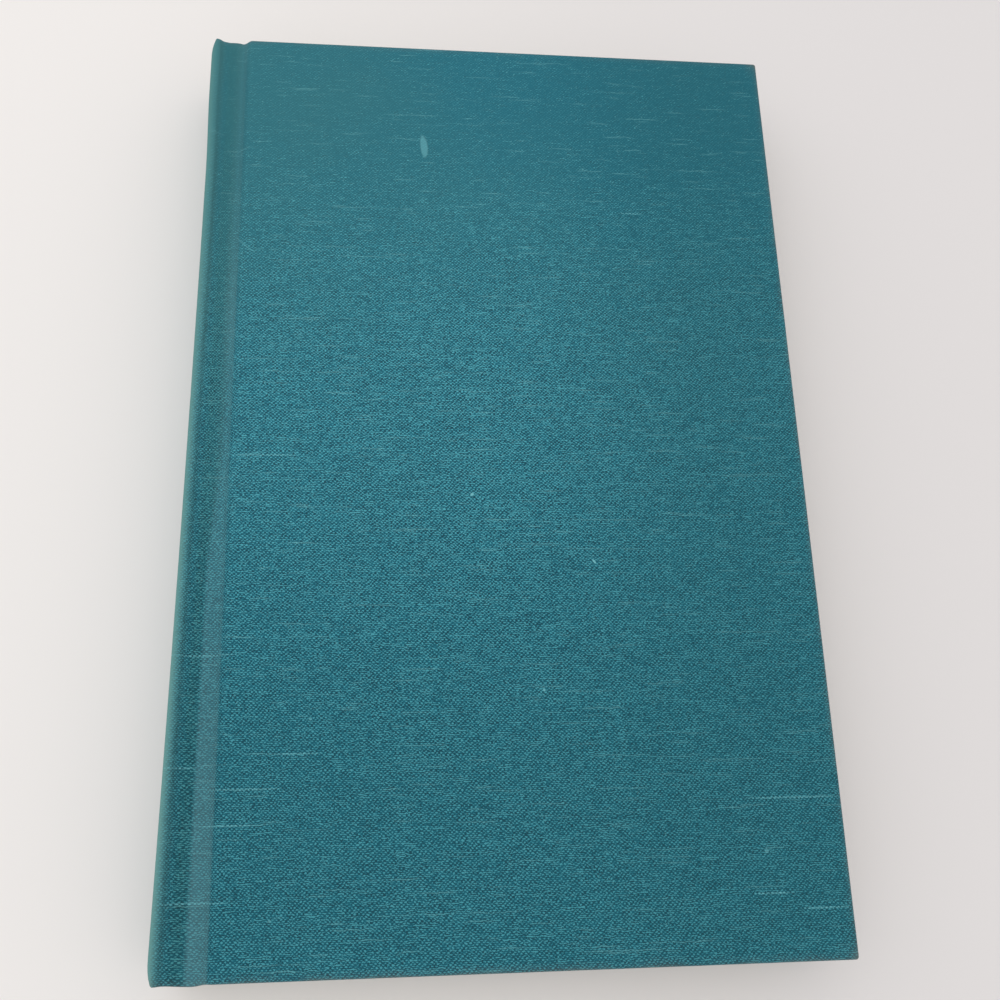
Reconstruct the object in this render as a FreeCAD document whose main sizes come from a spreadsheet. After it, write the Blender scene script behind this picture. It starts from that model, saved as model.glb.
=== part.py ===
import FreeCAD, Part
import Sketcher
import math
import os

# A cloth-bound hardback book with a rounded spine, French joints and a hollow back.
# Millimetres. X runs from the spine (-) to the fore-edge (+), Y from tail to head, Z up.
# The book lies on its back cover, and the origin is the middle of its footprint.
# Each section is drawn from the spine's outermost point, at half the book's thickness.

SIZES = {
    # Pages, cut to 8.5 by 5.5 inches, and the paper folded round them
    "page_height": 215.9,
    "page_width": 139.7,
    "page_block_thickness": 15.8,
    "endpaper_thickness": 0.15,
    "fore_edge_hollow": 1.8,
    # The page block's backed shoulders
    "shoulder_radius": 0.6,
    "shoulder_depth": 1.75,
    "shoulder_slope_radius": 4.0,
    # Case: boards, cloth and the strip of card down the spine
    "board_thickness": 2.45,
    "board_edge_radius": 0.3,
    "cloth_thickness": 0.35,
    "cloth_fold_radius": 0.28,
    "square_head_tail": 3.2,
    "square_fore_edge": 3.2,
    "turn_in_width": 15.0,
    "spine_overhang": 0.45,
    # The spine's rounding and the joint pressed beside it
    "spine_radius": 48.5,
    "crest_radius": 1.2,
    "joint_slope_radius": 2.2,
    "joint_depth": 1.9,
    "joint_width": 10.0,
    # Layers behind the spine, and the hollow that they leave
    "inlay_thickness": 0.35,
    "inlay_width": 18.6,
    "hollow_depth": 0.45,
    "lining_thickness": 0.15,
    "lining_width": 17.0,
    "mull_thickness": 0.15,
    "mull_setback": 12.0,
    # Head and tail bands
    "band_bead_radius": 0.8,
    "band_width": 16.0,
}

# Lengths that follow from the sizes, as expressions. Heights are from the book's middle
PAGES_HALF = "(Sizes.page_block_thickness / 2)"
FLYLEAF_TOP = f"({PAGES_HALF} + Sizes.endpaper_thickness)"
TURN_IN_LEVEL = f"({FLYLEAF_TOP} + Sizes.endpaper_thickness)"
BOARD_LEVEL = f"({TURN_IN_LEVEL} + Sizes.cloth_thickness)"
BOOK_HALF = f"({BOARD_LEVEL} + Sizes.board_thickness + Sizes.cloth_thickness)"
CREST_HEIGHT = f"({BOOK_HALF} - Sizes.crest_radius)"
JOINT_HEIGHT = f"({BOOK_HALF} - Sizes.joint_depth)"
SHOULDER_HEIGHT = f"({BOOK_HALF} - Sizes.shoulder_depth - Sizes.shoulder_radius)"
SPINE_LAYERS = (
    "(Sizes.cloth_thickness + Sizes.inlay_thickness + Sizes.hollow_depth"
    " + Sizes.lining_thickness + Sizes.mull_thickness)"
)
TAPE_THICKNESS = "(Sizes.mull_thickness + Sizes.lining_thickness)"
PAGES_RADIUS = f"(Sizes.spine_radius - {SPINE_LAYERS})"
FORE_EDGE = f"({SPINE_LAYERS} + Sizes.page_width)"
FORE_EDGE_RADIUS = (
    f"(({PAGES_HALF} ^ 2 + Sizes.fore_edge_hollow ^ 2) / (2 * Sizes.fore_edge_hollow))"
)
JOINT_MIDDLE = "(Sizes.joint_width / 2)"
BOARD_START = "(Sizes.joint_width + Sizes.cloth_thickness)"
BOARD_END = f"({FORE_EDGE} + Sizes.square_fore_edge)"
COVER_END = f"({BOARD_END} + Sizes.cloth_thickness)"
WINDOW_END = f"({COVER_END} - Sizes.turn_in_width)"
BOARD_LENGTH = "(Sizes.page_height + 2 * Sizes.square_head_tail)"
COVER_LENGTH = f"({BOARD_LENGTH} + 2 * Sizes.cloth_thickness)"
WINDOW_LENGTH = f"({COVER_LENGTH} - 2 * Sizes.turn_in_width)"
INLAY_LENGTH = f"({BOARD_LENGTH} + 2 * Sizes.spine_overhang)"
SPINE_LENGTH = f"({INLAY_LENGTH} + 2 * Sizes.cloth_thickness)"
MULL_LENGTH = "(Sizes.page_height - 2 * Sizes.mull_setback)"

os.makedirs("parts", exist_ok=True)
doc = FreeCAD.newDocument("HardbackBook")


def add_sizes():
    """Writes the driving dimensions into a spreadsheet, one alias a row."""
    sheet = doc.addObject("Spreadsheet::Sheet", "Sizes")
    for row, (name, value) in enumerate(SIZES.items(), start=1):
        sheet.set(f"A{row}", name)
        sheet.set(f"B{row}", str(value))
        sheet.setAlias(f"B{row}", name)
    doc.recompute()


def value_of(expression):
    """The number that an expression gives now, for a sketch's starting shape."""
    return float(doc.Sizes.evalExpression(expression.replace("Sizes.", "")))


def place(part):
    """Moves a part drawn from the spine at half thickness to the book's own origin."""
    part.setExpression(".Placement.Base.x", f"-{COVER_END} / 2")
    part.setExpression(".Placement.Base.z", BOOK_HALF)


def new_body(name):
    """A body that carries a node's name and sits in the book's place."""
    body = doc.addObject("PartDesign::Body", name)
    place(body)
    return body


def new_sketch(body, name, role):
    """A sketch on one of the body's own origin planes."""
    sketch = body.newObject("Sketcher::SketchObject", name)
    plane = next(item for item in body.Origin.OriginFeatures if item.Role == role)
    sketch.AttachmentSupport = (plane, [""])
    sketch.MapMode = "FlatFace"
    return sketch


def bind(sketch, kind, places, expression):
    """Adds a dimension to a sketch and ties it to the sheet."""
    number = sketch.addConstraint(Sketcher.Constraint(kind, *places, value_of(expression)))
    sketch.setExpression(f"Constraints[{number}]", expression)


def from_middle(edge, point, above):
    """A distance's two points, so that it is positive above and below the middle."""
    return (-1, 1, edge, point) if above else (edge, point, -1, 1)


def pad_both_ways(body, sketch, length):
    """Pads a section evenly to both sides of its plane."""
    pad = body.newObject("PartDesign::Pad", f"{sketch.Name}_pad")
    pad.Profile = sketch
    pad.SideType = "Symmetric"
    pad.setExpression("Length", length)
    return pad


def arc(centre, radius, start, turn):
    """An arc from one angle through a signed turn. It is stored anticlockwise."""
    circle = Part.Circle(FreeCAD.Vector(centre[0], centre[1], 0), FreeCAD.Vector(0, 0, 1), radius)
    if turn >= 0:
        return Part.ArcOfCircle(circle, start, start + turn)
    return Part.ArcOfCircle(circle, start + turn, start)


def spine_line(sketch, radius, shoulder_radius, shoulder_height, slope_radius, flat_height, reach):
    """Draws the line round the spine: flat, slope, shoulder, spine arc and their mirror.

    The spine arc has the same centre in every layer. The edges are numbered from the
    upper flat's right end round the spine to the lower flat's right end. Each arc is
    drawn anticlockwise, so the slopes are met at their second point first.
    """
    big, small = value_of(radius), value_of(shoulder_radius)
    slope, flat = value_of(slope_radius), value_of(flat_height)
    axis, right = value_of("Sizes.spine_radius"), value_of(reach)
    rise = value_of(shoulder_height)
    shoulder_x = axis - math.sqrt((big - small) ** 2 - rise ** 2)
    slope_rise = flat + slope
    slope_x = shoulder_x + math.sqrt((small + slope) ** 2 - (slope_rise - rise) ** 2)
    lean = math.atan2(slope_rise - rise, slope_x - shoulder_x)
    tilt = math.atan2(rise, axis - shoulder_x)
    vector = FreeCAD.Vector
    edges = [
        Part.LineSegment(vector(right, flat, 0), vector(slope_x, flat, 0)),
        arc((slope_x, slope_rise), slope, math.pi + lean, math.pi / 2 - lean),
        arc((shoulder_x, rise), small, lean, math.pi - tilt - lean),
        arc((axis, 0), big, math.pi - tilt, 2 * tilt),
        arc((shoulder_x, -rise), small, math.pi + tilt, math.pi - tilt - lean),
        arc((slope_x, -slope_rise), slope, math.pi / 2, math.pi / 2 - lean),
        Part.LineSegment(vector(slope_x, -flat, 0), vector(right, -flat, 0)),
    ]
    for edge in edges:
        sketch.addGeometry(edge)
    for places in ((0, 2, 1, 2), (1, 1, 2, 1), (2, 2, 3, 1), (3, 2, 4, 1), (4, 2, 5, 2), (5, 1, 6, 1)):
        sketch.addConstraint(Sketcher.Constraint("Tangent", *places))
    sketch.addConstraint(Sketcher.Constraint("PointOnObject", 3, 3, -1))
    bind(sketch, "DistanceX", (-1, 1, 3, 3), "Sizes.spine_radius")
    bind(sketch, "Radius", (3,), radius)
    for shoulder, side, line, end, above in ((2, 1, 0, 1, True), (4, 5, 6, 2, False)):
        sketch.addConstraint(Sketcher.Constraint("Horizontal", line))
        bind(sketch, "Radius", (shoulder,), shoulder_radius)
        bind(sketch, "Radius", (side,), slope_radius)
        bind(sketch, "DistanceY", from_middle(shoulder, 3, above), shoulder_height)
        bind(sketch, "DistanceY", from_middle(line, 1, above), flat_height)
        bind(sketch, "DistanceX", (-1, 1, line, end), reach)


def make_text_block():
    """The sewn pages as one solid: rounded back, backed shoulders, hollow fore-edge."""
    body = new_body("text_block")
    section = new_sketch(body, "page_section", "XZ_Plane")
    spine_line(
        section, PAGES_RADIUS, "Sizes.shoulder_radius", SHOULDER_HEIGHT,
        "Sizes.shoulder_slope_radius", PAGES_HALF, FORE_EDGE,
    )
    half, hollow = value_of(PAGES_HALF), value_of("Sizes.fore_edge_hollow")
    fore_radius = (half ** 2 + hollow ** 2) / (2 * hollow)
    angle = math.asin(half / fore_radius)
    centre = value_of(FORE_EDGE) - hollow + fore_radius
    number = section.addGeometry(arc((centre, 0), fore_radius, math.pi - angle, 2 * angle))
    section.addConstraint(Sketcher.Constraint("Coincident", number, 1, 0, 1))
    section.addConstraint(Sketcher.Constraint("Coincident", number, 2, 6, 2))
    bind(section, "Radius", (number,), FORE_EDGE_RADIUS)
    pad_both_ways(body, section, "Sizes.page_height")
    return body


def section_line(name):
    """A sketch of its own in the plane of the section, in the book's place."""
    line = doc.addObject("Sketcher::SketchObject", name)
    upright = FreeCAD.Rotation(FreeCAD.Vector(1, 0, 0), 90)
    line.Placement = FreeCAD.Placement(FreeCAD.Vector(), upright)
    place(line)
    return line


def layer_along(name, line, thickness, length, start):
    """A layer inside a section line, or outside it if minus, from start along Y."""
    skin = doc.addObject("Part::Offset2D", f"{name}_section")
    skin.Source = line
    skin.Mode = "Skin"
    skin.Fill = True
    skin.setExpression("Value", thickness)
    layer = doc.addObject("Part::Extrusion", name)
    layer.Base = skin
    layer.DirMode = "Custom"
    layer.Dir = FreeCAD.Vector(0, 1, 0)
    layer.Solid = True
    layer.setExpression("LengthFwd", length)
    layer.setExpression(".Placement.Base.y", start)
    return layer


def arc_strip(name, outer, thickness, width, length):
    """A strip bent to the spine's rounding, with its outer face a given depth in."""
    body = new_body(name)
    section = new_sketch(body, f"{name}_section", "XZ_Plane")
    axis, half = value_of("Sizes.spine_radius"), value_of(width) / 2
    outside = axis - value_of(outer)
    inside = outside - value_of(thickness)
    wide, narrow = math.asin(half / outside), math.asin(half / inside)
    left, right = axis - outside * math.cos(wide), axis - inside * math.cos(narrow)
    vector = FreeCAD.Vector
    section.addGeometry(arc((axis, 0), outside, math.pi - wide, 2 * wide))
    section.addGeometry(Part.LineSegment(vector(left, -half, 0), vector(right, -half, 0)))
    section.addGeometry(arc((axis, 0), inside, math.pi - narrow, 2 * narrow))
    section.addGeometry(Part.LineSegment(vector(right, half, 0), vector(left, half, 0)))
    for places in ((0, 2, 1, 1), (1, 2, 2, 2), (2, 1, 3, 1), (3, 2, 0, 1), (0, 3, 2, 3)):
        section.addConstraint(Sketcher.Constraint("Coincident", *places))
    section.addConstraint(Sketcher.Constraint("PointOnObject", 0, 3, -1))
    section.addConstraint(Sketcher.Constraint("Horizontal", 1))
    section.addConstraint(Sketcher.Constraint("Horizontal", 3))
    bind(section, "DistanceX", (-1, 1, 0, 3), "Sizes.spine_radius")
    bind(section, "Radius", (0,), f"(Sizes.spine_radius - {outer})")
    bind(section, "Radius", (2,), f"(Sizes.spine_radius - {outer} - {thickness})")
    bind(section, "DistanceY", (-1, 1, 0, 1), f"({width}) / 2")
    bind(section, "DistanceY", (0, 2, -1, 1), f"({width}) / 2")
    pad_both_ways(body, section, length)
    return body


def make_band(name, side):
    """A head or tail band: a bead over the pages' edge and its tape down their back."""
    body = new_body(name)
    section = new_sketch(body, f"{name}_section", "XY_Plane")
    back, tape = value_of(SPINE_LAYERS), value_of(TAPE_THICKNESS)
    bead, top = value_of("Sizes.band_bead_radius"), value_of("Sizes.page_height") / 2
    foot = value_of(MULL_LENGTH) / 2
    centre = (back - tape + bead, side * (top + bead))
    turn = math.acos((bead - tape) / bead)
    vector = FreeCAD.Vector
    outer = vector(back - tape, centre[1], 0)
    inner = vector(back, centre[1] - side * bead * math.sin(turn), 0)
    lower_outer, lower_inner = vector(outer.x, side * foot, 0), vector(back, side * foot, 0)
    section.addGeometry(Part.LineSegment(outer, lower_outer))
    section.addGeometry(Part.LineSegment(lower_outer, lower_inner))
    section.addGeometry(Part.LineSegment(lower_inner, inner))
    section.addGeometry(arc(centre, bead, math.pi + side * turn, side * (2 * math.pi - turn)))
    from_tape, to_tape = (1, 2) if side > 0 else (2, 1)
    for places in ((0, 2, 1, 1), (1, 2, 2, 1), (2, 2, 3, from_tape), (3, to_tape, 0, 1)):
        section.addConstraint(Sketcher.Constraint("Coincident", *places))
    for edge, kind in ((0, "Vertical"), (1, "Horizontal"), (2, "Vertical")):
        section.addConstraint(Sketcher.Constraint(kind, edge))
    bind(section, "DistanceX", (-1, 1, 1, 2), SPINE_LAYERS)
    bind(section, "DistanceX", (1, 1, 1, 2), TAPE_THICKNESS)
    bind(section, "Radius", (3,), "Sizes.band_bead_radius")
    section.addConstraint(Sketcher.Constraint("Horizontal", 0, 1, 3, 3))
    bead_level = "Sizes.page_height / 2 + Sizes.band_bead_radius"
    bind(section, "DistanceY", from_middle(3, 3, side > 0), bead_level)
    bind(section, "DistanceY", from_middle(1, 1, side > 0), f"{MULL_LENGTH} / 2")
    middle, width = value_of("Sizes.spine_radius"), value_of("Sizes.band_width")
    line = Part.LineSegment(vector(middle, 0, 0), vector(middle, width, 0))
    axis = section.addGeometry(line, True)
    section.addConstraint(Sketcher.Constraint("Vertical", axis))
    section.addConstraint(Sketcher.Constraint("PointOnObject", axis, 1, -1))
    bind(section, "DistanceX", (-1, 1, axis, 1), "Sizes.spine_radius")
    bind(section, "DistanceY", (axis, 1, axis, 2), "Sizes.band_width")
    turned = body.newObject("PartDesign::Revolution", f"{name}_round")
    turned.Profile = section
    turned.ReferenceAxis = (section, ["Axis0"])
    turned.Midplane = True
    turned.setExpression("Angle", f"2 * asin(Sizes.band_width / (2 * {PAGES_RADIUS}))")
    return body


def make_leaf(name, bottom):
    """A flyleaf: one flat leaf on the pages, from the joint to their fore-edge."""
    leaf = doc.addObject("Part::Box", name)
    leaf.setExpression("Length", f"{FORE_EDGE} - Sizes.joint_width")
    leaf.setExpression("Width", "Sizes.page_height")
    leaf.setExpression("Height", "Sizes.endpaper_thickness")
    leaf.setExpression(".Placement.Base.x", f"Sizes.joint_width - {COVER_END} / 2")
    leaf.setExpression(".Placement.Base.y", "-Sizes.page_height / 2")
    leaf.setExpression(".Placement.Base.z", f"{BOOK_HALF} + {bottom}")
    return leaf


def rectangle(sketch, start, end, length):
    """Draws a rectangle from start to end along X, even about the X axis."""
    left, right, half = value_of(start), value_of(end), value_of(length) / 2
    corners = [(left, -half), (right, -half), (right, half), (left, half)]
    points = [FreeCAD.Vector(x, y, 0) for x, y in corners]
    first = sketch.GeometryCount
    for number in range(4):
        sketch.addGeometry(Part.LineSegment(points[number], points[(number + 1) % 4]))
    for number in range(4):
        following = first + (number + 1) % 4
        sketch.addConstraint(Sketcher.Constraint("Coincident", first + number, 2, following, 1))
    for number, kind in enumerate(("Horizontal", "Vertical", "Horizontal", "Vertical")):
        sketch.addConstraint(Sketcher.Constraint(kind, first + number))
    bind(sketch, "DistanceX", (-1, 1, first, 1), start)
    bind(sketch, "DistanceX", (-1, 1, first, 2), end)
    bind(sketch, "DistanceY", from_middle(first, 1, False), f"{length} / 2")
    bind(sketch, "DistanceY", from_middle(first + 2, 1, True), f"{length} / 2")


def flat_sketch(body, name, level):
    """A level sketch at a height of its own above the book's middle."""
    outline = new_sketch(body, name, "XY_Plane")
    outline.setExpression(".AttachmentOffset.Base.z", level)
    return outline


def pad_flat(body, name, start, end, length, bottom, height):
    """A rectangular plate that lies flat."""
    outline = flat_sketch(body, f"{name}_outline", bottom)
    rectangle(outline, start, end, length)
    pad = body.newObject("PartDesign::Pad", f"{name}_pad")
    pad.Profile = outline
    pad.setExpression("Length", height)
    return pad


def pocket(body, outline, depth, upward):
    """Cuts a recess of a given depth up or down from a sketch's level."""
    cut = body.newObject("PartDesign::Pocket", f"{outline.Name}_cut")
    cut.Profile = outline
    cut.Reversed = upward
    cut.setExpression("Length", depth)
    return cut


def edges_at(feature, height, keep=lambda edge: True):
    """Names of a feature's edges that lie wholly at one height."""
    doc.recompute()
    names = []
    for number, edge in enumerate(feature.Shape.Edges, start=1):
        bounds = edge.BoundBox
        flat = abs(bounds.ZMin - height) < 1e-6 and abs(bounds.ZMax - height) < 1e-6
        if flat and keep(edge):
            names.append(f"Edge{number}")
    return names


def round_edges(body, name, feature, names, radius):
    """Rounds named edges of a feature."""
    fillet = body.newObject("PartDesign::Fillet", name)
    fillet.Base = (feature, names)
    fillet.setExpression("Radius", radius)
    return fillet


def make_board():
    """The front board: grey board with the edges of its outer face eased."""
    body = new_body("front_board")
    pad = pad_flat(
        body, "board", BOARD_START, BOARD_END, BOARD_LENGTH, BOARD_LEVEL, "Sizes.board_thickness"
    )
    names = edges_at(pad, value_of(f"{BOARD_LEVEL} + Sizes.board_thickness"))
    round_edges(body, "board_arris", pad, names, "Sizes.board_edge_radius")
    return body


def make_cover_cloth(board):
    """The cloth wrapped over the front board and turned in on three sides."""
    body = new_body("cloth_wrap")
    height = "(Sizes.board_thickness + 2 * Sizes.cloth_thickness)"
    pad = pad_flat(
        body, "cloth", "Sizes.joint_width", COVER_END, COVER_LENGTH, TURN_IN_LEVEL, height
    )
    outer = edges_at(pad, value_of(f"{TURN_IN_LEVEL} + {height}"))
    arris = "Sizes.board_edge_radius + Sizes.cloth_thickness"
    rounded = round_edges(body, "cloth_arris", pad, outer, arris)
    spine_side = value_of("Sizes.joint_width")
    inner = edges_at(rounded, value_of(TURN_IN_LEVEL), lambda edge: edge.BoundBox.XMax > spine_side)
    round_edges(body, "cloth_fold", rounded, inner, "Sizes.cloth_fold_radius")

    window = flat_sketch(body, "cloth_window", TURN_IN_LEVEL)
    rectangle(window, JOINT_MIDDLE, WINDOW_END, WINDOW_LENGTH)
    pocket(body, window, "Sizes.cloth_thickness", True)

    # Beside the joint the cloth reaches only as low as the joint's floor
    below = flat_sketch(body, "cloth_below_joint", TURN_IN_LEVEL)
    rectangle(below, JOINT_MIDDLE, BOARD_START, SPINE_LENGTH)
    pocket(body, below, f"{JOINT_HEIGHT} - Sizes.cloth_thickness - {TURN_IN_LEVEL}", True)

    cloth = doc.addObject("Part::Cut", "front_cover_cloth")
    cloth.Base = body
    cloth.Tool = board
    return cloth


def make_pastedown():
    """The pastedown: paper down on the board, and stepped up over the turn-ins."""
    body = new_body("front_pastedown")
    depth = "(Sizes.cloth_thickness + Sizes.endpaper_thickness)"
    pad_flat(body, "pastedown", BOARD_START, FORE_EDGE, "Sizes.page_height", FLYLEAF_TOP, depth)

    panel = flat_sketch(body, "pastedown_panel", FLYLEAF_TOP)
    paper = "Sizes.endpaper_thickness"
    rectangle(panel, JOINT_MIDDLE, f"({WINDOW_END} - {paper})", f"({WINDOW_LENGTH} - 2 * {paper})")
    pocket(body, panel, "Sizes.cloth_thickness", True)

    rim = flat_sketch(body, "pastedown_rim", BOARD_LEVEL)
    rectangle(rim, "Sizes.crest_radius", COVER_END, SPINE_LENGTH)
    rectangle(rim, JOINT_MIDDLE, WINDOW_END, WINDOW_LENGTH)
    pocket(body, rim, "Sizes.cloth_thickness", False)
    return body


def make_mull():
    """The mull: open cloth glued over the back of the pages and round both shoulders."""
    line = section_line("mull_line")
    spine_line(
        line, PAGES_RADIUS, "Sizes.shoulder_radius", SHOULDER_HEIGHT,
        "Sizes.shoulder_slope_radius", PAGES_HALF, "Sizes.joint_width",
    )
    return layer_along("mull", line, "-Sizes.mull_thickness", MULL_LENGTH, f"-{MULL_LENGTH} / 2")


def make_spine_cloth(inlay):
    """The cloth over the spine and both joints, turned in round the inlay's two ends."""
    line = section_line("case_line")
    spine_line(
        line, "Sizes.spine_radius", "Sizes.crest_radius", CREST_HEIGHT,
        "Sizes.joint_slope_radius", JOINT_HEIGHT, "Sizes.joint_width",
    )
    cloth, turn_in = "Sizes.cloth_thickness", "Sizes.turn_in_width"
    ends = {"head": f"({SPINE_LENGTH} / 2 - {turn_in})", "tail": f"(-{SPINE_LENGTH} / 2)"}
    layers = [layer_along("spine_cover", line, cloth, SPINE_LENGTH, f"-{SPINE_LENGTH} / 2")]
    for end, start in ends.items():
        layers.append(layer_along(f"{end}_joint_turn_in", line, f"2 * {cloth}", turn_in, start))
        fold = arc_strip(
            f"{end}_spine_turn_in", cloth, f"(Sizes.inlay_thickness + {cloth})",
            f"(Sizes.inlay_width + 2 * {cloth})", turn_in,
        )
        fold.setExpression(".Placement.Base.y", f"{start} + {turn_in} / 2")
        layers.append(fold)
    folded = doc.addObject("Part::MultiFuse", "folded_spine_cloth")
    folded.Shapes = layers
    result = doc.addObject("Part::Cut", "spine_cloth")
    result.Base = folded
    result.Tool = inlay
    return result


def mirrored(name, source):
    """The back cover's piece: the front one's mirror image in the middle of the pages."""
    copy = doc.addObject("Part::Mirroring", name)
    copy.Source = source
    copy.Normal = FreeCAD.Vector(0, 0, 1)
    copy.setExpression("Base.z", BOOK_HALF)
    return copy


def build():
    """Makes every sub-part, in the order in which a binder adds it."""
    add_sizes()
    paper, length = "Sizes.endpaper_thickness", MULL_LENGTH
    below_mull = f"({SPINE_LAYERS} - {TAPE_THICKNESS})"
    parts = [
        make_text_block(),
        make_leaf("front_flyleaf", PAGES_HALF),
        make_leaf("back_flyleaf", f"(-{PAGES_HALF} - {paper})"),
        make_mull(),
        arc_strip("spine_lining", below_mull, "Sizes.lining_thickness", "Sizes.lining_width", length),
        make_band("head_band", 1),
        make_band("tail_band", -1),
    ]
    inlay = arc_strip(
        "spine_inlay", "Sizes.cloth_thickness", "Sizes.inlay_thickness", "Sizes.inlay_width",
        INLAY_LENGTH,
    )
    front_board = make_board()
    parts += [inlay, make_spine_cloth(inlay), front_board, make_cover_cloth(front_board)]
    parts.append(make_pastedown())
    parts.append(mirrored("back_board", front_board))
    parts += [mirrored(f"back_{part.Name.removeprefix('front_')}", part) for part in parts[-3:-1]]
    return parts


def check_and_export(parts):
    """Stops on any failed object or bad solid, and then writes one STEP file a sub-part."""
    doc.recompute()
    faults = [item.Label for item in doc.Objects if {"Invalid", "Error"} & set(item.State)]
    for part in parts:
        shape = part.Shape
        if shape.isNull() or not shape.isValid() or len(shape.Solids) != 1:
            faults.append(f"{part.Label} has no single valid solid")
    if faults:
        raise RuntimeError(", ".join(faults))
    for part in parts:
        part.Shape.exportStep(os.path.join("parts", f"{part.Label}.step"))
        bounds = part.Shape.BoundBox
        corners = [bounds.XMin, bounds.YMin, bounds.ZMin, bounds.XMax, bounds.YMax, bounds.ZMax]
        print(part.Label, f"{part.Shape.Volume:.1f}", [round(corner, 3) for corner in corners])


check_and_export(build())
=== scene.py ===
import logging
import math
from dataclasses import dataclass, field
from enum import Enum
from typing import Callable

import bmesh
import bpy
import numpy as np
from mathutils import Matrix, Vector


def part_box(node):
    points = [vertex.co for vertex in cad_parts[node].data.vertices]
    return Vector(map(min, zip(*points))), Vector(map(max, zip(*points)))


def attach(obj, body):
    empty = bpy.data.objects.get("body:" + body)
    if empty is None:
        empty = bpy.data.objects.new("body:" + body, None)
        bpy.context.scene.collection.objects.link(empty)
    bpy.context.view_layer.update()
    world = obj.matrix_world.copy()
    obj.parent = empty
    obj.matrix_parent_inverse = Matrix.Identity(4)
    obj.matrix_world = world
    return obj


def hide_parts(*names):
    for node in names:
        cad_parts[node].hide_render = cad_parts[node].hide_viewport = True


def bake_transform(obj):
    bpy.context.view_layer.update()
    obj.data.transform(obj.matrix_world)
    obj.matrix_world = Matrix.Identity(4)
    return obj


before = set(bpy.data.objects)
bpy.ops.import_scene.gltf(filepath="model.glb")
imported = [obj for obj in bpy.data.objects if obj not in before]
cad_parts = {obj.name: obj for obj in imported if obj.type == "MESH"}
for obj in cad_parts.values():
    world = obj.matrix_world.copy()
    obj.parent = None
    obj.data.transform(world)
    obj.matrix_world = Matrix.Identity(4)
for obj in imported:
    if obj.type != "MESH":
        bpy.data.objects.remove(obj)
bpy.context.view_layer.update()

MM = 0.001
LOG = logging.getLogger("hardback")


class Side(Enum):
    """Which cover a piece belongs to: the front one, on top, or the back one."""

    FRONT = 1
    BACK = -1

    @property
    def word(self) -> str:
        """The side's name as the frame's nodes and bodies spell it."""
        return self.name.lower()


class End(Enum):
    """The book's two ends along Y."""

    HEAD = 1
    TAIL = -1

    @property
    def word(self) -> str:
        """The end's name as the frame's nodes spell it."""
        return self.name.lower()


@dataclass(frozen=True)
class BookSizes:
    """Sizes in millimetres that the CAD frame gives, and the layers between them."""

    left: float
    right: float
    top: float
    spine_end: float
    cover_end: float
    pages_end: float
    pages_right: float
    board_left: float
    board_level: float
    leaf_top: float
    cloth: float = 0.35
    paper: float = 0.15
    inlay: float = 0.35
    spine_layers: float = 1.45
    spine_radius: float = 48.5
    turn_in: float = 15.0
    shoulder_start: float = 2.4
    shoulder_length: float = 4.7
    shoulder_rise: float = 1.55

    @classmethod
    def from_frame(cls) -> "BookSizes":
        """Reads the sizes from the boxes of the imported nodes.

        Returns:
            The sizes, in millimetres, in the frame's own axes.
        """
        spine_low, spine_high = (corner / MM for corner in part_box("spine_cloth"))
        _, cover_high = (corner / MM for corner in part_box("front_cover_cloth"))
        _, leaf_high = (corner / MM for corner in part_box("front_flyleaf"))
        board_low, _ = (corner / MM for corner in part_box("front_board"))
        return cls(
            left=spine_low.x, right=cover_high.x, top=cover_high.z, spine_end=spine_high.y,
            cover_end=cover_high.y, pages_end=leaf_high.y, pages_right=leaf_high.x,
            board_left=board_low.x, board_level=board_low.z, leaf_top=leaf_high.z,
        )

    @property
    def middle(self) -> float:
        """Height of the plane halfway through the book."""
        return self.top / 2

    @property
    def turn_in_level(self) -> float:
        """Height of the turned-in cloth's face on the inside of the front cover."""
        return self.board_level - self.cloth

    def shoulder(self, x: np.ndarray) -> np.ndarray:
        """Depth of the pages' top leaf below the cover's face: a smoothstep up to the shoulder.

        Args:
            x: distance from the spine's outermost line.

        Returns:
            The depth at each distance.
        """
        flat = self.top - self.leaf_top + self.paper
        climb = 1.0 - smooth((x - self.shoulder_start) / self.shoulder_length)
        return flat - self.shoulder_rise * climb

    @property
    def pages_half(self) -> float:
        """Half the thickness of the flat part of the pages."""
        return self.leaf_top - self.paper - self.middle


def smooth(value: np.ndarray) -> np.ndarray:
    """Smoothstep: 3t^2 - 2t^3 with t held between 0 and 1.

    Args:
        value: the numbers to ease.

    Returns:
        The eased numbers, from 0 to 1.
    """
    held = np.clip(value, 0.0, 1.0)
    return held * held * (3.0 - 2.0 * held)


def arc(centre: tuple[float, float], radius: float, start: float, end: float, count: int) -> np.ndarray:
    """Points on an arc: centre + radius (cos a, sin a), with a even between two angles.

    Args:
        centre: the arc's centre.
        radius: the arc's radius.
        start: first angle in radians.
        end: last angle in radians.
        count: number of points, both ends included.

    Returns:
        An array of count rows and 2 columns.
    """
    angle = np.linspace(start, end, count)
    return np.stack([centre[0] + radius * np.cos(angle), centre[1] + radius * np.sin(angle)], 1)


def spread(start: float, end: float, count: int, ends: float = 0.0) -> np.ndarray:
    """Numbers from start to end, closer together at the two ends as ends goes to 1.

    Args:
        start: first number.
        end: last number.
        count: how many.
        ends: share of a cosine spacing mixed into the even one.

    Returns:
        The numbers in order.
    """
    even = np.linspace(0.0, 1.0, count)
    eased = (1.0 - np.cos(math.pi * even)) / 2.0
    return start + (end - start) * ((1.0 - ends) * even + ends * eased)


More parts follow.
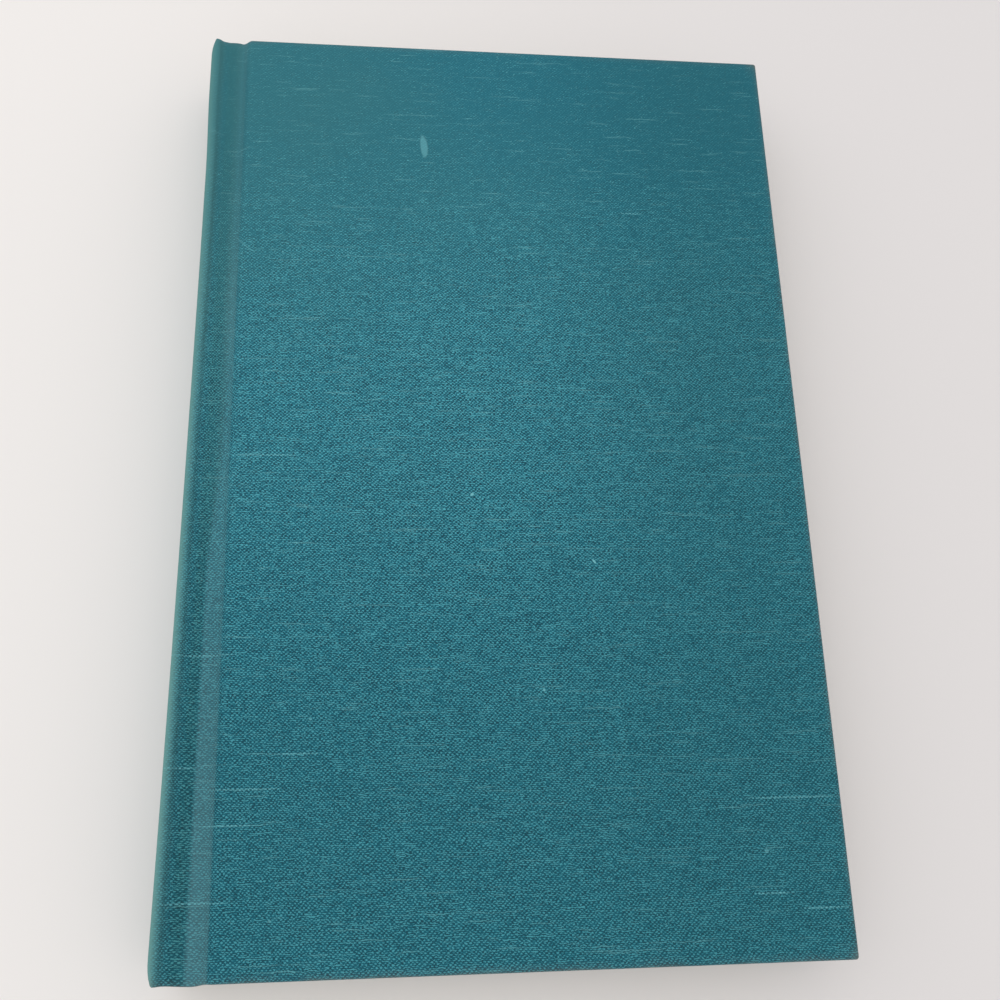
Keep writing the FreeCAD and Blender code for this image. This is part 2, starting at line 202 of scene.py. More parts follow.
def grid_faces(rows: int, columns: int, first: int = 0, closed: bool = False) -> np.ndarray:
    """Quads of a grid whose point (r, c) has the number first + r * columns + c.

    Args:
        rows: number of rows of points.
        columns: number of points in a row.
        first: number of the grid's first point.
        closed: whether the last column joins the first one.

    Returns:
        An array of quads, turning from rows to columns.
    """
    row, column = np.meshgrid(np.arange(rows - 1), np.arange(columns - (not closed)), indexing="ij")
    after = (column + 1) % columns
    corners = [row * columns + column, (row + 1) * columns + column,
               (row + 1) * columns + after, row * columns + after]
    return first + np.stack(corners, -1).reshape(-1, 4)


class MeshPiece:
    """A mesh built from arrays of points in millimetres and of faces."""

    def __init__(self, name: str) -> None:
        """Starts an empty piece.

        Args:
            name: the piece's name in the scene.
        """
        self.name = name
        self.points: list[np.ndarray] = []
        self.faces: list[tuple[int, ...]] = []
        self.values: dict[str, list[np.ndarray]] = {}
        self.count = 0

    def add(self, points: np.ndarray, faces: np.ndarray, **values: np.ndarray) -> int:
        """Adds points and faces, and values that go with the points.

        Args:
            points: rows of x, y, z in millimetres.
            faces: rows of point numbers, counted within these points.
            values: one number or one vector a point, by attribute name.

        Returns:
            The number that the first of these points has in the whole mesh.
        """
        first = self.count
        flat = points.reshape(-1, 3)
        self.points.append(flat)
        self.faces += [tuple(int(number) + first for number in face) for face in faces]
        for name, numbers in values.items():
            self.values.setdefault(name, []).append(np.asarray(numbers, float))
        self.count += len(flat)
        return first

    def join(self, faces: np.ndarray) -> None:
        """Adds faces between points that are already there.

        Args:
            faces: rows of point numbers in the whole mesh.
        """
        self.faces += [tuple(int(number) for number in face) for face in faces]

    def finish(self, merge: float = 1e-5, smooth_angle: float = 0.7) -> bpy.types.Object:
        """Makes the object, merges points that meet and turns the faces outwards.

        Args:
            merge: distance in millimetres within which points are one.
            smooth_angle: angle in radians up to which an edge is shaded smooth.

        Returns:
            The new object, linked to the scene.
        """
        mesh = bpy.data.meshes.new(self.name)
        points = np.concatenate(self.points) * MM
        mesh.from_pydata(points.tolist(), [], self.faces)
        for name, parts in self.values.items():
            numbers = np.concatenate(parts)
            kind = "FLOAT" if numbers.ndim == 1 else "FLOAT_VECTOR"
            attribute = mesh.attributes.new(name, kind, "POINT")
            word = "value" if numbers.ndim == 1 else "vector"
            attribute.data.foreach_set(word, numbers.astype(np.float32).ravel())
        work = bmesh.new()
        work.from_mesh(mesh)
        bmesh.ops.remove_doubles(work, verts=work.verts, dist=merge * MM)
        bmesh.ops.dissolve_degenerate(work, edges=work.edges, dist=merge * MM)
        bmesh.ops.recalc_face_normals(work, faces=work.faces)
        work.to_mesh(mesh)
        work.free()
        mesh.shade_smooth()
        mesh.set_sharp_from_angle(angle=smooth_angle)
        piece = bpy.data.objects.new(self.name, mesh)
        bpy.context.scene.collection.objects.link(piece)
        return piece


def add_uv(piece: bpy.types.Object, source: str, scale: float = 0.01) -> None:
    """Copies a vector attribute of millimetres into the piece's UV map and removes it.

    Args:
        piece: the object to give a UV map.
        source: name of the attribute, whose first two numbers are used.
        scale: UV units to a millimetre.
    """
    mesh = piece.data
    vectors = np.zeros(len(mesh.vertices) * 3, np.float32)
    mesh.attributes[source].data.foreach_get("vector", vectors)
    loops = np.zeros(len(mesh.loops), np.int32)
    mesh.loops.foreach_get("vertex_index", loops)
    flat = vectors.reshape(-1, 3)[loops, :2] * scale
    layer = mesh.uv_layers.new(name="Cloth")
    layer.uv.foreach_set("vector", flat.astype(np.float32).ravel())
    mesh.attributes.remove(mesh.attributes[source])


class Graph:
    """A short way to write a node tree: each method adds a node and returns its output."""

    def __init__(self, tree: bpy.types.NodeTree) -> None:
        """Wraps a node tree.

        Args:
            tree: the material's or the group's tree.
        """
        self.tree = tree

    def node(self, kind: str, inputs: dict | None = None, **settings) -> bpy.types.Node:
        """Adds a node, sets its properties and fills its inputs.

        Args:
            kind: the node's type name.
            inputs: values or sockets by input name or number.
            settings: properties of the node.

        Returns:
            The new node.
        """
        made = self.tree.nodes.new(kind)
        for name, value in settings.items():
            setattr(made, name, value)
        for name, value in (inputs or {}).items():
            self.fill(made.inputs[name], value)
        return made

    def fill(self, socket: bpy.types.NodeSocket, value) -> None:
        """Links a socket to another one, or sets its own value.

        Args:
            socket: the input to fill.
            value: an output socket, a number or a tuple.
        """
        if isinstance(value, bpy.types.NodeSocket):
            self.tree.links.new(value, socket)
        else:
            socket.default_value = value

    def math(self, operation: str, *values, clamp: bool = False) -> bpy.types.NodeSocket:
        """A Math node's result.

        Args:
            operation: the operation's name.
            values: one to three numbers or sockets.
            clamp: whether the result is held between 0 and 1.

        Returns:
            The output socket.
        """
        made = self.node("ShaderNodeMath", dict(enumerate(values)), operation=operation, use_clamp=clamp)
        return made.outputs[0]

    def ramp(self, value, low: float, high: float, out_low: float = 0.0, out_high: float = 1.0):
        """Maps a value from one range to another with a smooth step, held at both ends.

        Args:
            value: the socket to map.
            low: value that gives out_low.
            high: value that gives out_high.
            out_low: result at the low end.
            out_high: result at the high end.

        Returns:
            The output socket.
        """
        made = self.node("ShaderNodeMapRange", {
            "Value": value, "From Min": low, "From Max": high, "To Min": out_low, "To Max": out_high,
        }, interpolation_type="SMOOTHSTEP")
        return made.outputs["Result"]

    def mix(self, share, first, second, blend: str = "MIX") -> bpy.types.NodeSocket:
        """Mixes two colours.

        Args:
            share: how much of the second colour, as a number or a socket.
            first: first colour.
            second: second colour.
            blend: how they mix.

        Returns:
            The output socket.
        """
        made = self.node("ShaderNodeMix", data_type="RGBA", blend_type=blend)
        self.fill(made.inputs["Factor"], share)
        self.fill(made.inputs[6], first)
        self.fill(made.inputs[7], second)
        return made.outputs[2]

    def noise(self, vector, scale: float, detail: float = 2.0, rough: float = 0.5):
        """Noise from 0 to 1.

        Args:
            vector: where it is read.
            scale: repeats to a unit of the vector.
            detail: octaves.
            rough: strength of the finer octaves.

        Returns:
            The output socket.
        """
        made = self.node("ShaderNodeTexNoise", {
            "Vector": vector, "Scale": scale, "Detail": detail, "Roughness": rough,
        })
        return made.outputs["Fac"]

    def combine(self, x, y, z=0.0) -> bpy.types.NodeSocket:
        """A vector from three numbers or sockets.

        Args:
            x: first number.
            y: second number.
            z: third number.

        Returns:
            The output socket.
        """
        return self.node("ShaderNodeCombineXYZ", {0: x, 1: y, 2: z}).outputs[0]

    def attribute(self, name: str) -> bpy.types.NodeSocket:
        """A number stored on the mesh.

        Args:
            name: the attribute's name.

        Returns:
            The output socket.
        """
        return self.node("ShaderNodeAttribute", attribute_name=name).outputs["Fac"]

    def object_mm(self) -> bpy.types.NodeSocket:
        """Object coordinates in millimetres.

        Returns:
            The output socket.
        """
        place = self.node("ShaderNodeTexCoord").outputs["Object"]
        scaled = self.node("ShaderNodeVectorMath", {0: place, "Scale": 1.0 / MM}, operation="SCALE")
        return scaled.outputs[0]


def make_group(name: str, inputs: dict[str, float | str], outputs: list[str]) -> tuple:
    """Starts a shader node group with named sockets.

    Args:
        name: the group's name.
        inputs: default number by input name, or "vector" for a vector.
        outputs: names of the number outputs.

    Returns:
        The group, its graph, its input node and its output node.
    """
    group = bpy.data.node_groups.new(name, "ShaderNodeTree")
    for word, default in inputs.items():
        kind = "NodeSocketVector" if default == "vector" else "NodeSocketFloat"
        socket = group.interface.new_socket(name=word, in_out="INPUT", socket_type=kind)
        if default != "vector":
            socket.default_value = default
    for word in outputs:
        group.interface.new_socket(name=word, in_out="OUTPUT", socket_type="NodeSocketFloat")
    graph = Graph(group)
    return group, graph, group.nodes.new("NodeGroupInput"), group.nodes.new("NodeGroupOutput")


def weave_group() -> bpy.types.NodeTree:
    """Plain weave: over-and-under crossings of two sets of threads that waver a little.

    The crossing pattern is cos(pi x / a) cos(pi y / b), which is high where a cross thread
    lies on top. Slubs are stretches of one thread that are thicker and paler.

    Returns:
        The node group, with its vector in millimetres.
    """
    group, graph, given, result = make_group(
        "plain_weave",
        {"Vector": "vector", "Warp Pitch": 0.45, "Weft Pitch": 0.4, "Lean": 0.0, "Waver": 0.2},
        ["Crossing", "Height", "Slub", "Streak", "Warp Streak", "Rows", "Grain", "Fleck"],
    )
    place = given.outputs["Vector"]
    parts = graph.node("ShaderNodeSeparateXYZ", {0: place}).outputs
    waver_x = graph.math("SUBTRACT", graph.noise(place, 0.4, 5.0, 0.85), 0.5)
    moved = graph.node("ShaderNodeVectorMath", {0: place, 1: (37.0, 11.0, 0.0)}, operation="ADD")
    waver_y = graph.math("SUBTRACT", graph.noise(moved.outputs[0], 0.33, 5.0, 0.85), 0.5)
    lean = graph.math("MULTIPLY_ADD", parts[1], given.outputs["Lean"], parts[0])
    x = graph.math("MULTIPLY_ADD", waver_x, given.outputs["Waver"], lean)
    y = graph.math("MULTIPLY_ADD", waver_y, given.outputs["Waver"], parts[1])
    column = graph.math("DIVIDE", x, given.outputs["Warp Pitch"])
    row = graph.math("DIVIDE", y, given.outputs["Weft Pitch"])
    wave_x = graph.math("COSINE", graph.math("MULTIPLY", column, math.pi))
    wave_y = graph.math("COSINE", graph.math("MULTIPLY", row, math.pi))

    # Each crossing stands up by its own random share, which is nothing at its borders
    column_whole, row_whole = graph.math("ROUND", column), graph.math("ROUND", row)
    cell = graph.combine(column_whole, row_whole)
    chance = graph.node("ShaderNodeTexWhiteNoise", {"Vector": cell}, noise_dimensions="2D").outputs["Value"]
    share = graph.math("MULTIPLY_ADD", chance, 1.75, 0.25)
    crossing = graph.math("MULTIPLY", graph.math("MULTIPLY", wave_x, wave_y), share)
    graph.fill(result.inputs["Crossing"], graph.math("MULTIPLY_ADD", crossing, 0.5, 0.5, clamp=True))
    round_x = graph.math("ABSOLUTE", wave_x)
    round_y = graph.math("ABSOLUTE", wave_y)
    graph.fill(result.inputs["Height"], graph.math("MAXIMUM", round_x, round_y))

    # One number a thread, and noise that runs along it
    row_number = graph.math("MULTIPLY", row_whole, 3.71)
    along_row = graph.combine(graph.math("MULTIPLY", parts[0], 0.07), row_number)
    weft = graph.noise(along_row, 1.0, 2.0)
    slub = graph.math("MULTIPLY", graph.ramp(weft, 0.6, 0.72), graph.ramp(round_y, 0.35, 0.85))
    graph.fill(result.inputs["Slub"], slub)
    short_row = graph.combine(graph.math("MULTIPLY", parts[0], 0.17), row_number)
    graph.fill(result.inputs["Streak"], graph.noise(short_row, 1.0, 2.0))
    column_number = graph.math("MULTIPLY", column_whole, 2.93)
    along_column = graph.combine(column_number, graph.math("MULTIPLY", parts[1], 0.3))
    graph.fill(result.inputs["Warp Streak"], graph.noise(along_column, 1.0, 2.0))
    dashes = graph.combine(graph.math("MULTIPLY", parts[0], 0.4), graph.math("MULTIPLY", row_whole, 5.17))
    dash = graph.ramp(graph.noise(dashes, 1.0, 2.0), 0.5, 0.64)
    ridge = graph.math("SUBTRACT", round_y, 0.64)
    graph.fill(result.inputs["Rows"], graph.math("MULTIPLY", ridge, graph.math("MULTIPLY_ADD", dash, 1.5, 0.45)))
    graph.fill(result.inputs["Grain"], graph.noise(place, 2.8, 2.0, 0.7))
    fleck = graph.noise(place, 1.7, 1.0)
    graph.fill(result.inputs["Fleck"], graph.ramp(fleck, 0.7, 0.76))
    return group


def mark_group() -> bpy.types.NodeTree:
    """One mark on the cover: a short line of some length and width, turned and bent.

    In the mark's own axes the line is y = bend x^2, and the mask fades out at the ellipse
    of its half length and half width.

    Returns:
        The node group, with its vector in millimetres and its output a mask.
    """
    group, graph, given, result = make_group(
        "mark",
        {"Vector": "vector", "X": 0.0, "Y": 0.0, "Length": 5.0, "Width": 0.4, "Turn": 0.0, "Bend": 0.0},
        ["Mask"],
    )
    middle = graph.combine(given.outputs["X"], given.outputs["Y"])
    flat = graph.node("ShaderNodeVectorMath", {0: given.outputs["Vector"], 1: (1.0, 1.0, 0.0)},
                      operation="MULTIPLY").outputs[0]
    offset = graph.node("ShaderNodeVectorMath", {0: flat, 1: middle}, operation="SUBTRACT").outputs[0]
    turned = graph.node("ShaderNodeVectorRotate", {"Vector": offset, "Angle": given.outputs["Turn"]},
                        rotation_type="Z_AXIS").outputs[0]
    parts = graph.node("ShaderNodeSeparateXYZ", {0: turned}).outputs
    bow = graph.math("MULTIPLY", graph.math("MULTIPLY", parts[0], parts[0]), given.outputs["Bend"])
    across = graph.math("ABSOLUTE", graph.math("SUBTRACT", parts[1], bow))
    along = graph.math("ABSOLUTE", parts[0])
    near = graph.math("DIVIDE", across, graph.math("MULTIPLY", given.outputs["Width"], 0.5))
    within = graph.math("DIVIDE", along, graph.math("MULTIPLY", given.outputs["Length"], 0.5))
    reach = graph.math("MULTIPLY_ADD", near, near, graph.math("MULTIPLY", within, within))
    graph.fill(result.inputs["Mask"], graph.ramp(reach, 0.5, 1.3, 1.0, 0.0))
    return group


def mottle_group() -> bpy.types.NodeTree:
    """Broad and middle-sized unevenness of tone, each from 0 to 1.

    Returns:
        The node group, with its vector in millimetres.
    """
    group, graph, given, result = make_group(
        "mottle", {"Vector": "vector", "Broad": 0.012, "Middle": 0.11}, ["Broad", "Middle"]
    )
    for word in ("Broad", "Middle"):
        noise = graph.node("ShaderNodeTexNoise", {
            "Vector": given.outputs["Vector"], "Scale": given.outputs[word], "Detail": 3.0,
        })
        graph.fill(result.inputs[word], noise.outputs["Fac"])
    return group


def linear(red: int, green: int, blue: int) -> tuple[float, float, float, float]:
    """A colour written in 8-bit sRGB, as the linear numbers that a socket takes.

    Args:
        red: 0 to 255.
        green: 0 to 255.
        blue: 0 to 255.

    Returns:
        Linear red, green, blue and an alpha of 1.
    """
    shares = [value / 255.0 for value in (red, green, blue)]
    return (*[s / 12.92 if s <= 0.04045 else ((s + 0.055) / 1.055) ** 2.4 for s in shares], 1.0)


@dataclass(frozen=True)
class Finish:
    """A material with a Principled shader of its own. Subclasses paint its inputs."""

    name: str
    roughness: float = 0.8
    specular: float = 0.35

    def make(self) -> bpy.types.Material:
        """Builds the material.

        Returns:
            The finished material.
        """
        material = bpy.data.materials.new(self.name)
        material.use_nodes = True
        graph = Graph(material.node_tree)
        shader = material.node_tree.nodes["Principled BSDF"]
        shader.inputs["Roughness"].default_value = self.roughness
        shader.inputs["Specular IOR Level"].default_value = self.specular
        self.paint(graph, shader)
        return material

    def paint(self, graph: Graph, shader: bpy.types.Node) -> None:
        """Fills the shader's colour and normal. Subclasses give their own.

        Args:
            graph: the material's graph.
            shader: its Principled node.
        """
        raise NotImplementedError

    def bump(self, graph: Graph, shader: bpy.types.Node, height, depth: float, strength: float = 1.0) -> None:
        """Feeds a height into the shader's normal.

        Args:
            graph: the material's graph.
            shader: its Principled node.
            height: the height, from 0 to 1.
            depth: the height's full depth in millimetres.
            strength: the bump's strength.
        """
        made = graph.node("ShaderNodeBump", {"Height": height, "Distance": depth * MM, "Strength": strength})
        graph.fill(shader.inputs["Normal"], made.outputs[0])


@dataclass(frozen=True)
class Mark:
    """A mark on the front cover, by its middle and size in millimetres."""

    x: float
    y: float
    length: float
    width: float = 0.4
    turn: float = 0.0
    bend: float = 0.0
    strength: float = 0.4


THICK_THREADS = (
    Mark(34.8, 63.5, 6.0), Mark(-64.5, -47.3, 15.0), Mark(-44.3, -68.1, 11.0), Mark(-67.7, -70.5, 6.5),
    Mark(-54.4, -75.0, 16.0), Mark(-57.6, -82.1, 12.0), Mark(-63.7, -96.7, 14.5),
    Mark(61.5, -79.0, 21.0), Mark(66.4, -101.2, 11.0), Mark(55.6, -98.1, 9.0), Mark(-53.0, -2.2, 15.0),
)
SPECKS = (
    Mark(-51.3, 49.8, 0.5, 0.5), Mark(-6.4, -11.3, 0.9, 0.7, 0.7, strength=1.0),
    Mark(21.0, -27.0, 1.3, 0.5, -0.9, strength=0.95),
    Mark(8.6, -55.6, 0.6, 0.6, strength=0.8), Mark(41.7, 71.4, 0.5, 0.5), Mark(-41.2, -61.0, 0.7, 0.7),
    Mark(-48.0, -100.3, 0.6, 0.6), Mark(54.7, -89.8, 0.9, 0.8),
)
SCRATCH = Mark(-60.6, 51.6, 7.6, 0.28, -0.785, 0.05, 0.26)
RAISED_THREAD = Mark(-17.2, 81.1, 6.8, 2.0, math.pi / 2 + 0.1, 0.01, 0.42)


@dataclass(frozen=True)
class BookCloth(Finish):
    """Teal plain-weave book cloth with paler slubs, wear at the edges and a pressed joint, with painted shade, sheen
    and highlights.
    """

    warp_pitch: float = 0.455
    weft_pitch: float = 0.40
    lean: float = 0.136
    # gap: painted shade between the threads; crown: painted highlight on their tops
    gap: tuple = linear(0, 56, 74)
    thread: tuple = linear(3, 101, 122)
    crown: tuple = linear(80, 171, 186)
    slub: tuple = linear(108, 180, 189)
    # Painted sheen haze, paler and greyer towards the head and the spine
    sheen_haze_tint: tuple = linear(56, 114, 117)
    worn: tuple = linear(112, 112, 102)
    # pressed: painted sheen of the joint's pressed band
    pressed: tuple = linear(97, 140, 146)
    # edge: partly rubbing wear, partly painted highlight along the spine's rounded edge
    edge: tuple = linear(98, 148, 146)
    # Painted shade, mixed in broadly towards the tail and the fore-edge
    shade: tuple = linear(8, 74, 80)

    def paint(self, graph: Graph, shader: bpy.types.Node) -> None:
        """Weave in the cloth's own UV map, with wear, pressing, marks and painted shade, sheen and highlights from
        the mesh.

        Args:
            graph: the material's graph.
            shader: its Principled node.
        """
        flat = graph.node("ShaderNodeUVMap", uv_map="Cloth").outputs[0]
        place = graph.node("ShaderNodeVectorMath", {0: flat, "Scale": 100.0}, operation="SCALE").outputs[0]
        weave = graph.node("ShaderNodeGroup", node_tree=bpy.data.node_groups["plain_weave"])
        mottle = graph.node("ShaderNodeGroup", node_tree=bpy.data.node_groups["mottle"])
        for made in (weave, mottle):
            graph.fill(made.inputs["Vector"], place)
        weave.inputs["Warp Pitch"].default_value = self.warp_pitch
        weave.inputs["Weft Pitch"].default_value = self.weft_pitch
        weave.inputs["Lean"].default_value = self.lean
        weave.inputs["Waver"].default_value = 1.6
        pressed = graph.attribute("pressed")
        depth = graph.math("MULTIPLY", graph.math("MULTIPLY_ADD", pressed, -0.1, 1.0), graph.attribute("relief"))

        # Threads: painted shade in the gaps, mid tone, painted highlight on the crowns, lighter and darker along each
        # thread
        patch = graph.ramp(mottle.outputs["Middle"], 0.3, 0.7, 0.9, 1.12)
        swing = graph.math("SUBTRACT", weave.outputs["Crossing"], 0.5)
        streak = graph.math("MULTIPLY_ADD", weave.outputs["Streak"], 0.5, -0.25)
        streak = graph.math("MULTIPLY_ADD", weave.outputs["Warp Streak"], 0.2, graph.math("SUBTRACT", streak, 0.1))
        streak = graph.math("MULTIPLY_ADD", weave.outputs["Rows"], 1.25, streak)
        grain = graph.math("MULTIPLY_ADD", weave.outputs["Grain"], 1.0, -0.5)
        threads = graph.math("ADD", graph.math("MULTIPLY", swing, patch), graph.math("ADD", streak, grain))
        level = graph.math("MULTIPLY", threads, depth)
        level = graph.math("ADD", level, 0.5)
        colour = graph.mix(graph.ramp(level, 0.02, 0.5), self.gap, self.thread)
        colour = graph.mix(graph.ramp(level, 0.5, 1.05), colour, self.crown)
        colour = graph.mix(graph.math("MULTIPLY", weave.outputs["Slub"], 0.5), colour, self.slub)
        colour = graph.mix(graph.math("MULTIPLY", weave.outputs["Fleck"], 0.6), colour, self.slub)

        # Painted shade in the joint's hollow and towards the tail and fore-edge, painted sheen on the pressed band,
        # wear and painted highlight along the spine's edge, painted sheen haze towards the head, and edge wear
        # Painted shade: the joint's slope and floor darkened, a little more towards the tail
        colour = graph.mix(graph.attribute("sunk"), colour, (0.88, 0.79, 0.74, 1.0), "MULTIPLY")
        # Painted shade: broad darkening towards the tail and the fore-edge
        colour = graph.mix(graph.math("MULTIPLY", graph.attribute("broad_painted_shade"), 0.5), colour, self.shade)
        # Painted sheen: the pressed band on the joint's rise lightened
        colour = graph.mix(graph.math("MULTIPLY", pressed, 0.34), colour, self.pressed)
        # Partly rubbing wear, partly painted highlight: the spine's rounded edge and the crest's foot lightened
        colour = graph.mix(graph.math("MULTIPLY", graph.attribute("rub_and_highlight"), 0.75), colour, self.edge)
        # Painted sheen haze: paler and greyer towards the head and the spine, broken up by broad mottling
        sheen_haze_share = graph.math("MULTIPLY", graph.attribute("sheen_haze"), 0.5)
        broad = graph.ramp(mottle.outputs["Broad"], 0.35, 0.65, 0.7, 1.15)
        colour = graph.mix(graph.math("MULTIPLY", sheen_haze_share, broad), colour, self.sheen_haze_tint)
        worn = graph.math("MULTIPLY", graph.attribute("wear"),
                          graph.ramp(mottle.outputs["Middle"], 0.3, 0.62, 0.25, 1.0))
        colour = graph.mix(graph.math("MULTIPLY", worn, 0.8, clamp=True), colour, self.worn)

        # Marks of the front cover
        rest = graph.node("ShaderNodeAttribute", attribute_name="rest").outputs["Vector"]
        for mark in (*THICK_THREADS, *SPECKS, SCRATCH, RAISED_THREAD):
            strength = mark.strength
            if mark in THICK_THREADS:
                strength = graph.math("MULTIPLY", weave.outputs["Crossing"], 1.8 * strength, clamp=True)
            mask = graph.math("MULTIPLY", self.mark(graph, rest, mark), strength)
            colour = graph.mix(mask, colour, self.slub)
        graph.fill(shader.inputs["Base Color"], colour)
        shader.inputs["Sheen Weight"].default_value = 0.05
        shader.inputs["Sheen Roughness"].default_value = 0.4
        height = graph.math("MULTIPLY_ADD", weave.outputs["Slub"], 0.4, weave.outputs["Height"])
        height = graph.math("MULTIPLY", height, depth)
        height = graph.math("MULTIPLY_ADD", self.mark(graph, rest, RAISED_THREAD), 6.0, height)
        self.bump(graph, shader, height, 0.07, 0.6)

    def mark(self, graph: Graph, rest: bpy.types.NodeSocket, mark: Mark) -> bpy.types.NodeSocket:
        """The mask of one mark, shown on the front cover's face alone.

        Args:
            graph: the material's graph.
            rest: the place of each point on the cover, with its depth as the third number.
            mark: the mark.

        Returns:
            The mask, from 0 to 1.
        """
        made = graph.node("ShaderNodeGroup", node_tree=bpy.data.node_groups["mark"])
        graph.fill(made.inputs["Vector"], rest)
        for word, value in (("X", mark.x), ("Y", mark.y), ("Length", mark.length), ("Width", mark.width),
                            ("Turn", -mark.turn), ("Bend", mark.bend)):
            made.inputs[word].default_value = value
        depth = graph.node("ShaderNodeSeparateXYZ", {0: rest}).outputs[2]
        return graph.math("MULTIPLY", made.outputs["Mask"], graph.math("LESS_THAN", depth, 2.5))


@dataclass(frozen=True)
class PageEdges(Finish):
    """Cut leaves: each leaf a little lighter or darker, with fine fibres."""

    light: tuple = linear(236, 228, 208)
    dark: tuple = linear(198, 187, 163)

    def paint(self, graph: Graph, shader: bpy.types.Node) -> None:
        """Tone by leaf from the mesh, with noise along each leaf's edge.

        Args:
            graph: the material's graph.
            shader: its Principled node.
        """
        place = graph.object_mm()
        leaf = graph.attribute("leaf")
        parts = graph.node("ShaderNodeSeparateXYZ", {0: place}).outputs
        run = graph.combine(graph.math("MULTIPLY", parts[0], 0.12), graph.math("MULTIPLY", parts[1], 0.12), leaf)
        tone = graph.noise(run, 1.0, 3.0)
        colour = graph.mix(graph.ramp(tone, 0.3, 0.7), self.dark, self.light)
        fine = graph.noise(place, 6.0, 2.0)
        colour = graph.mix(graph.ramp(fine, 0.3, 0.8, 0.0, 0.25), colour, linear(170, 158, 136))
        graph.fill(shader.inputs["Base Color"], colour)
        self.bump(graph, shader, fine, 0.04, 0.5)


@dataclass(frozen=True)
class Fibrous(Finish):
    """Paper, board or card: fine fibres and soft clouds of tone."""

    light: tuple = linear(233, 228, 215)
    dark: tuple = linear(216, 209, 193)
    fibre: float = 3.0
    depth: float = 0.02

    def paint(self, graph: Graph, shader: bpy.types.Node) -> None:
        """Clouds and fibres in object coordinates.

        Args:
            graph: the material's graph.
            shader: its Principled node.
        """
        place = graph.object_mm()
        clouds = graph.noise(place, 0.09, 4.0)
        stretched = graph.node("ShaderNodeVectorMath", {0: place, 1: (1.0, 0.35, 1.0)}, operation="MULTIPLY")
        fibres = graph.noise(stretched.outputs[0], self.fibre, 4.0, 0.65)
        share = graph.math("MULTIPLY_ADD", fibres, 0.6, graph.math("MULTIPLY", clouds, 0.4))
        graph.fill(shader.inputs["Base Color"], graph.mix(graph.ramp(share, 0.35, 0.65), self.dark, self.light))
        self.bump(graph, shader, fibres, self.depth, 0.6)


@dataclass(frozen=True)
class OpenCloth(Finish):
    """Mull: open stiffened cotton, woven wide enough to see the glue between its threads."""

    thread: tuple = linear(226, 220, 203)
    glue: tuple = linear(168, 152, 118)

    def paint(self, graph: Graph, shader: bpy.types.Node) -> None:
        """A wide plain weave along Y and round the spine.

        Args:
            graph: the material's graph.
            shader: its Principled node.
        """
        parts = graph.node("ShaderNodeSeparateXYZ", {0: graph.object_mm()}).outputs
        weave = graph.node("ShaderNodeGroup", node_tree=bpy.data.node_groups["plain_weave"])
        graph.fill(weave.inputs["Vector"], graph.combine(graph.math("ADD", parts[0], parts[2]), parts[1]))
        weave.inputs["Warp Pitch"].default_value = 1.1
        weave.inputs["Weft Pitch"].default_value = 1.1
        share = graph.ramp(weave.outputs["Height"], 0.55, 0.8)
        graph.fill(shader.inputs["Base Color"], graph.mix(share, self.glue, self.thread))
        self.bump(graph, shader, weave.outputs["Height"], 0.1)


@dataclass(frozen=True)
class BandThread(Finish):
    """The bands' sewn cotton: threads laid side by side over the bead."""

    light: tuple = linear(232, 226, 210)
    dark: tuple = linear(160, 150, 128)

    def paint(self, graph: Graph, shader: bpy.types.Node) -> None:
        """Painted shade in the dark lines between threads, from the thread number stored on the mesh.

        Args:
            graph: the material's graph.
            shader: its Principled node.
        """
        thread = graph.attribute("thread")
        groove = graph.math("ABSOLUTE", graph.math("SINE", graph.math("MULTIPLY", thread, math.pi)))
        tone = graph.noise(graph.object_mm(), 2.5, 3.0)
        # Painted shade in the grooves between threads
        colour = graph.mix(graph.ramp(groove, 0.0, 0.6), self.dark, self.light)
        colour = graph.mix(graph.ramp(tone, 0.4, 0.7, 0.0, 0.3), colour, self.dark)
        graph.fill(shader.inputs["Base Color"], colour)
        self.bump(graph, shader, groove, 0.05)


@dataclass
class Palette:
    """Every finish of the book, built once and shared by its pieces."""

    made: dict[str, bpy.types.Material] = field(default_factory=dict)

    def build(self) -> None:
        """Makes the shared groups and then each material."""
        weave_group()
        mottle_group()
        mark_group()
        finishes = [
            BookCloth("book_cloth", roughness=0.82, specular=0.3),
            PageEdges("page_paper", roughness=0.9, specular=0.2),
            Fibrous("endpaper", light=linear(232, 227, 214), dark=linear(226, 220, 206), roughness=0.85),
            Fibrous("grey_board", light=linear(158, 152, 142), dark=linear(126, 120, 110), depth=0.05),
            Fibrous("grey_card", light=linear(165, 160, 150), dark=linear(140, 134, 124), depth=0.03),
            Fibrous("kraft_paper", light=linear(186, 153, 112), dark=linear(160, 126, 88), depth=0.03),
            OpenCloth("mull_cloth", roughness=0.9, specular=0.2),
            BandThread("band_cotton", roughness=0.75, specular=0.3),
        ]
        for finish in finishes:
            self.made[finish.name] = finish.make()

    def dress(self, piece: bpy.types.Object, slot: str) -> None:
        """Gives a piece one of the finishes and names its slot.

        Args:
            piece: the object to dress.
            slot: the record's material slot.
        """
        piece.data.materials.clear()
        piece.data.materials.append(self.made[slot])


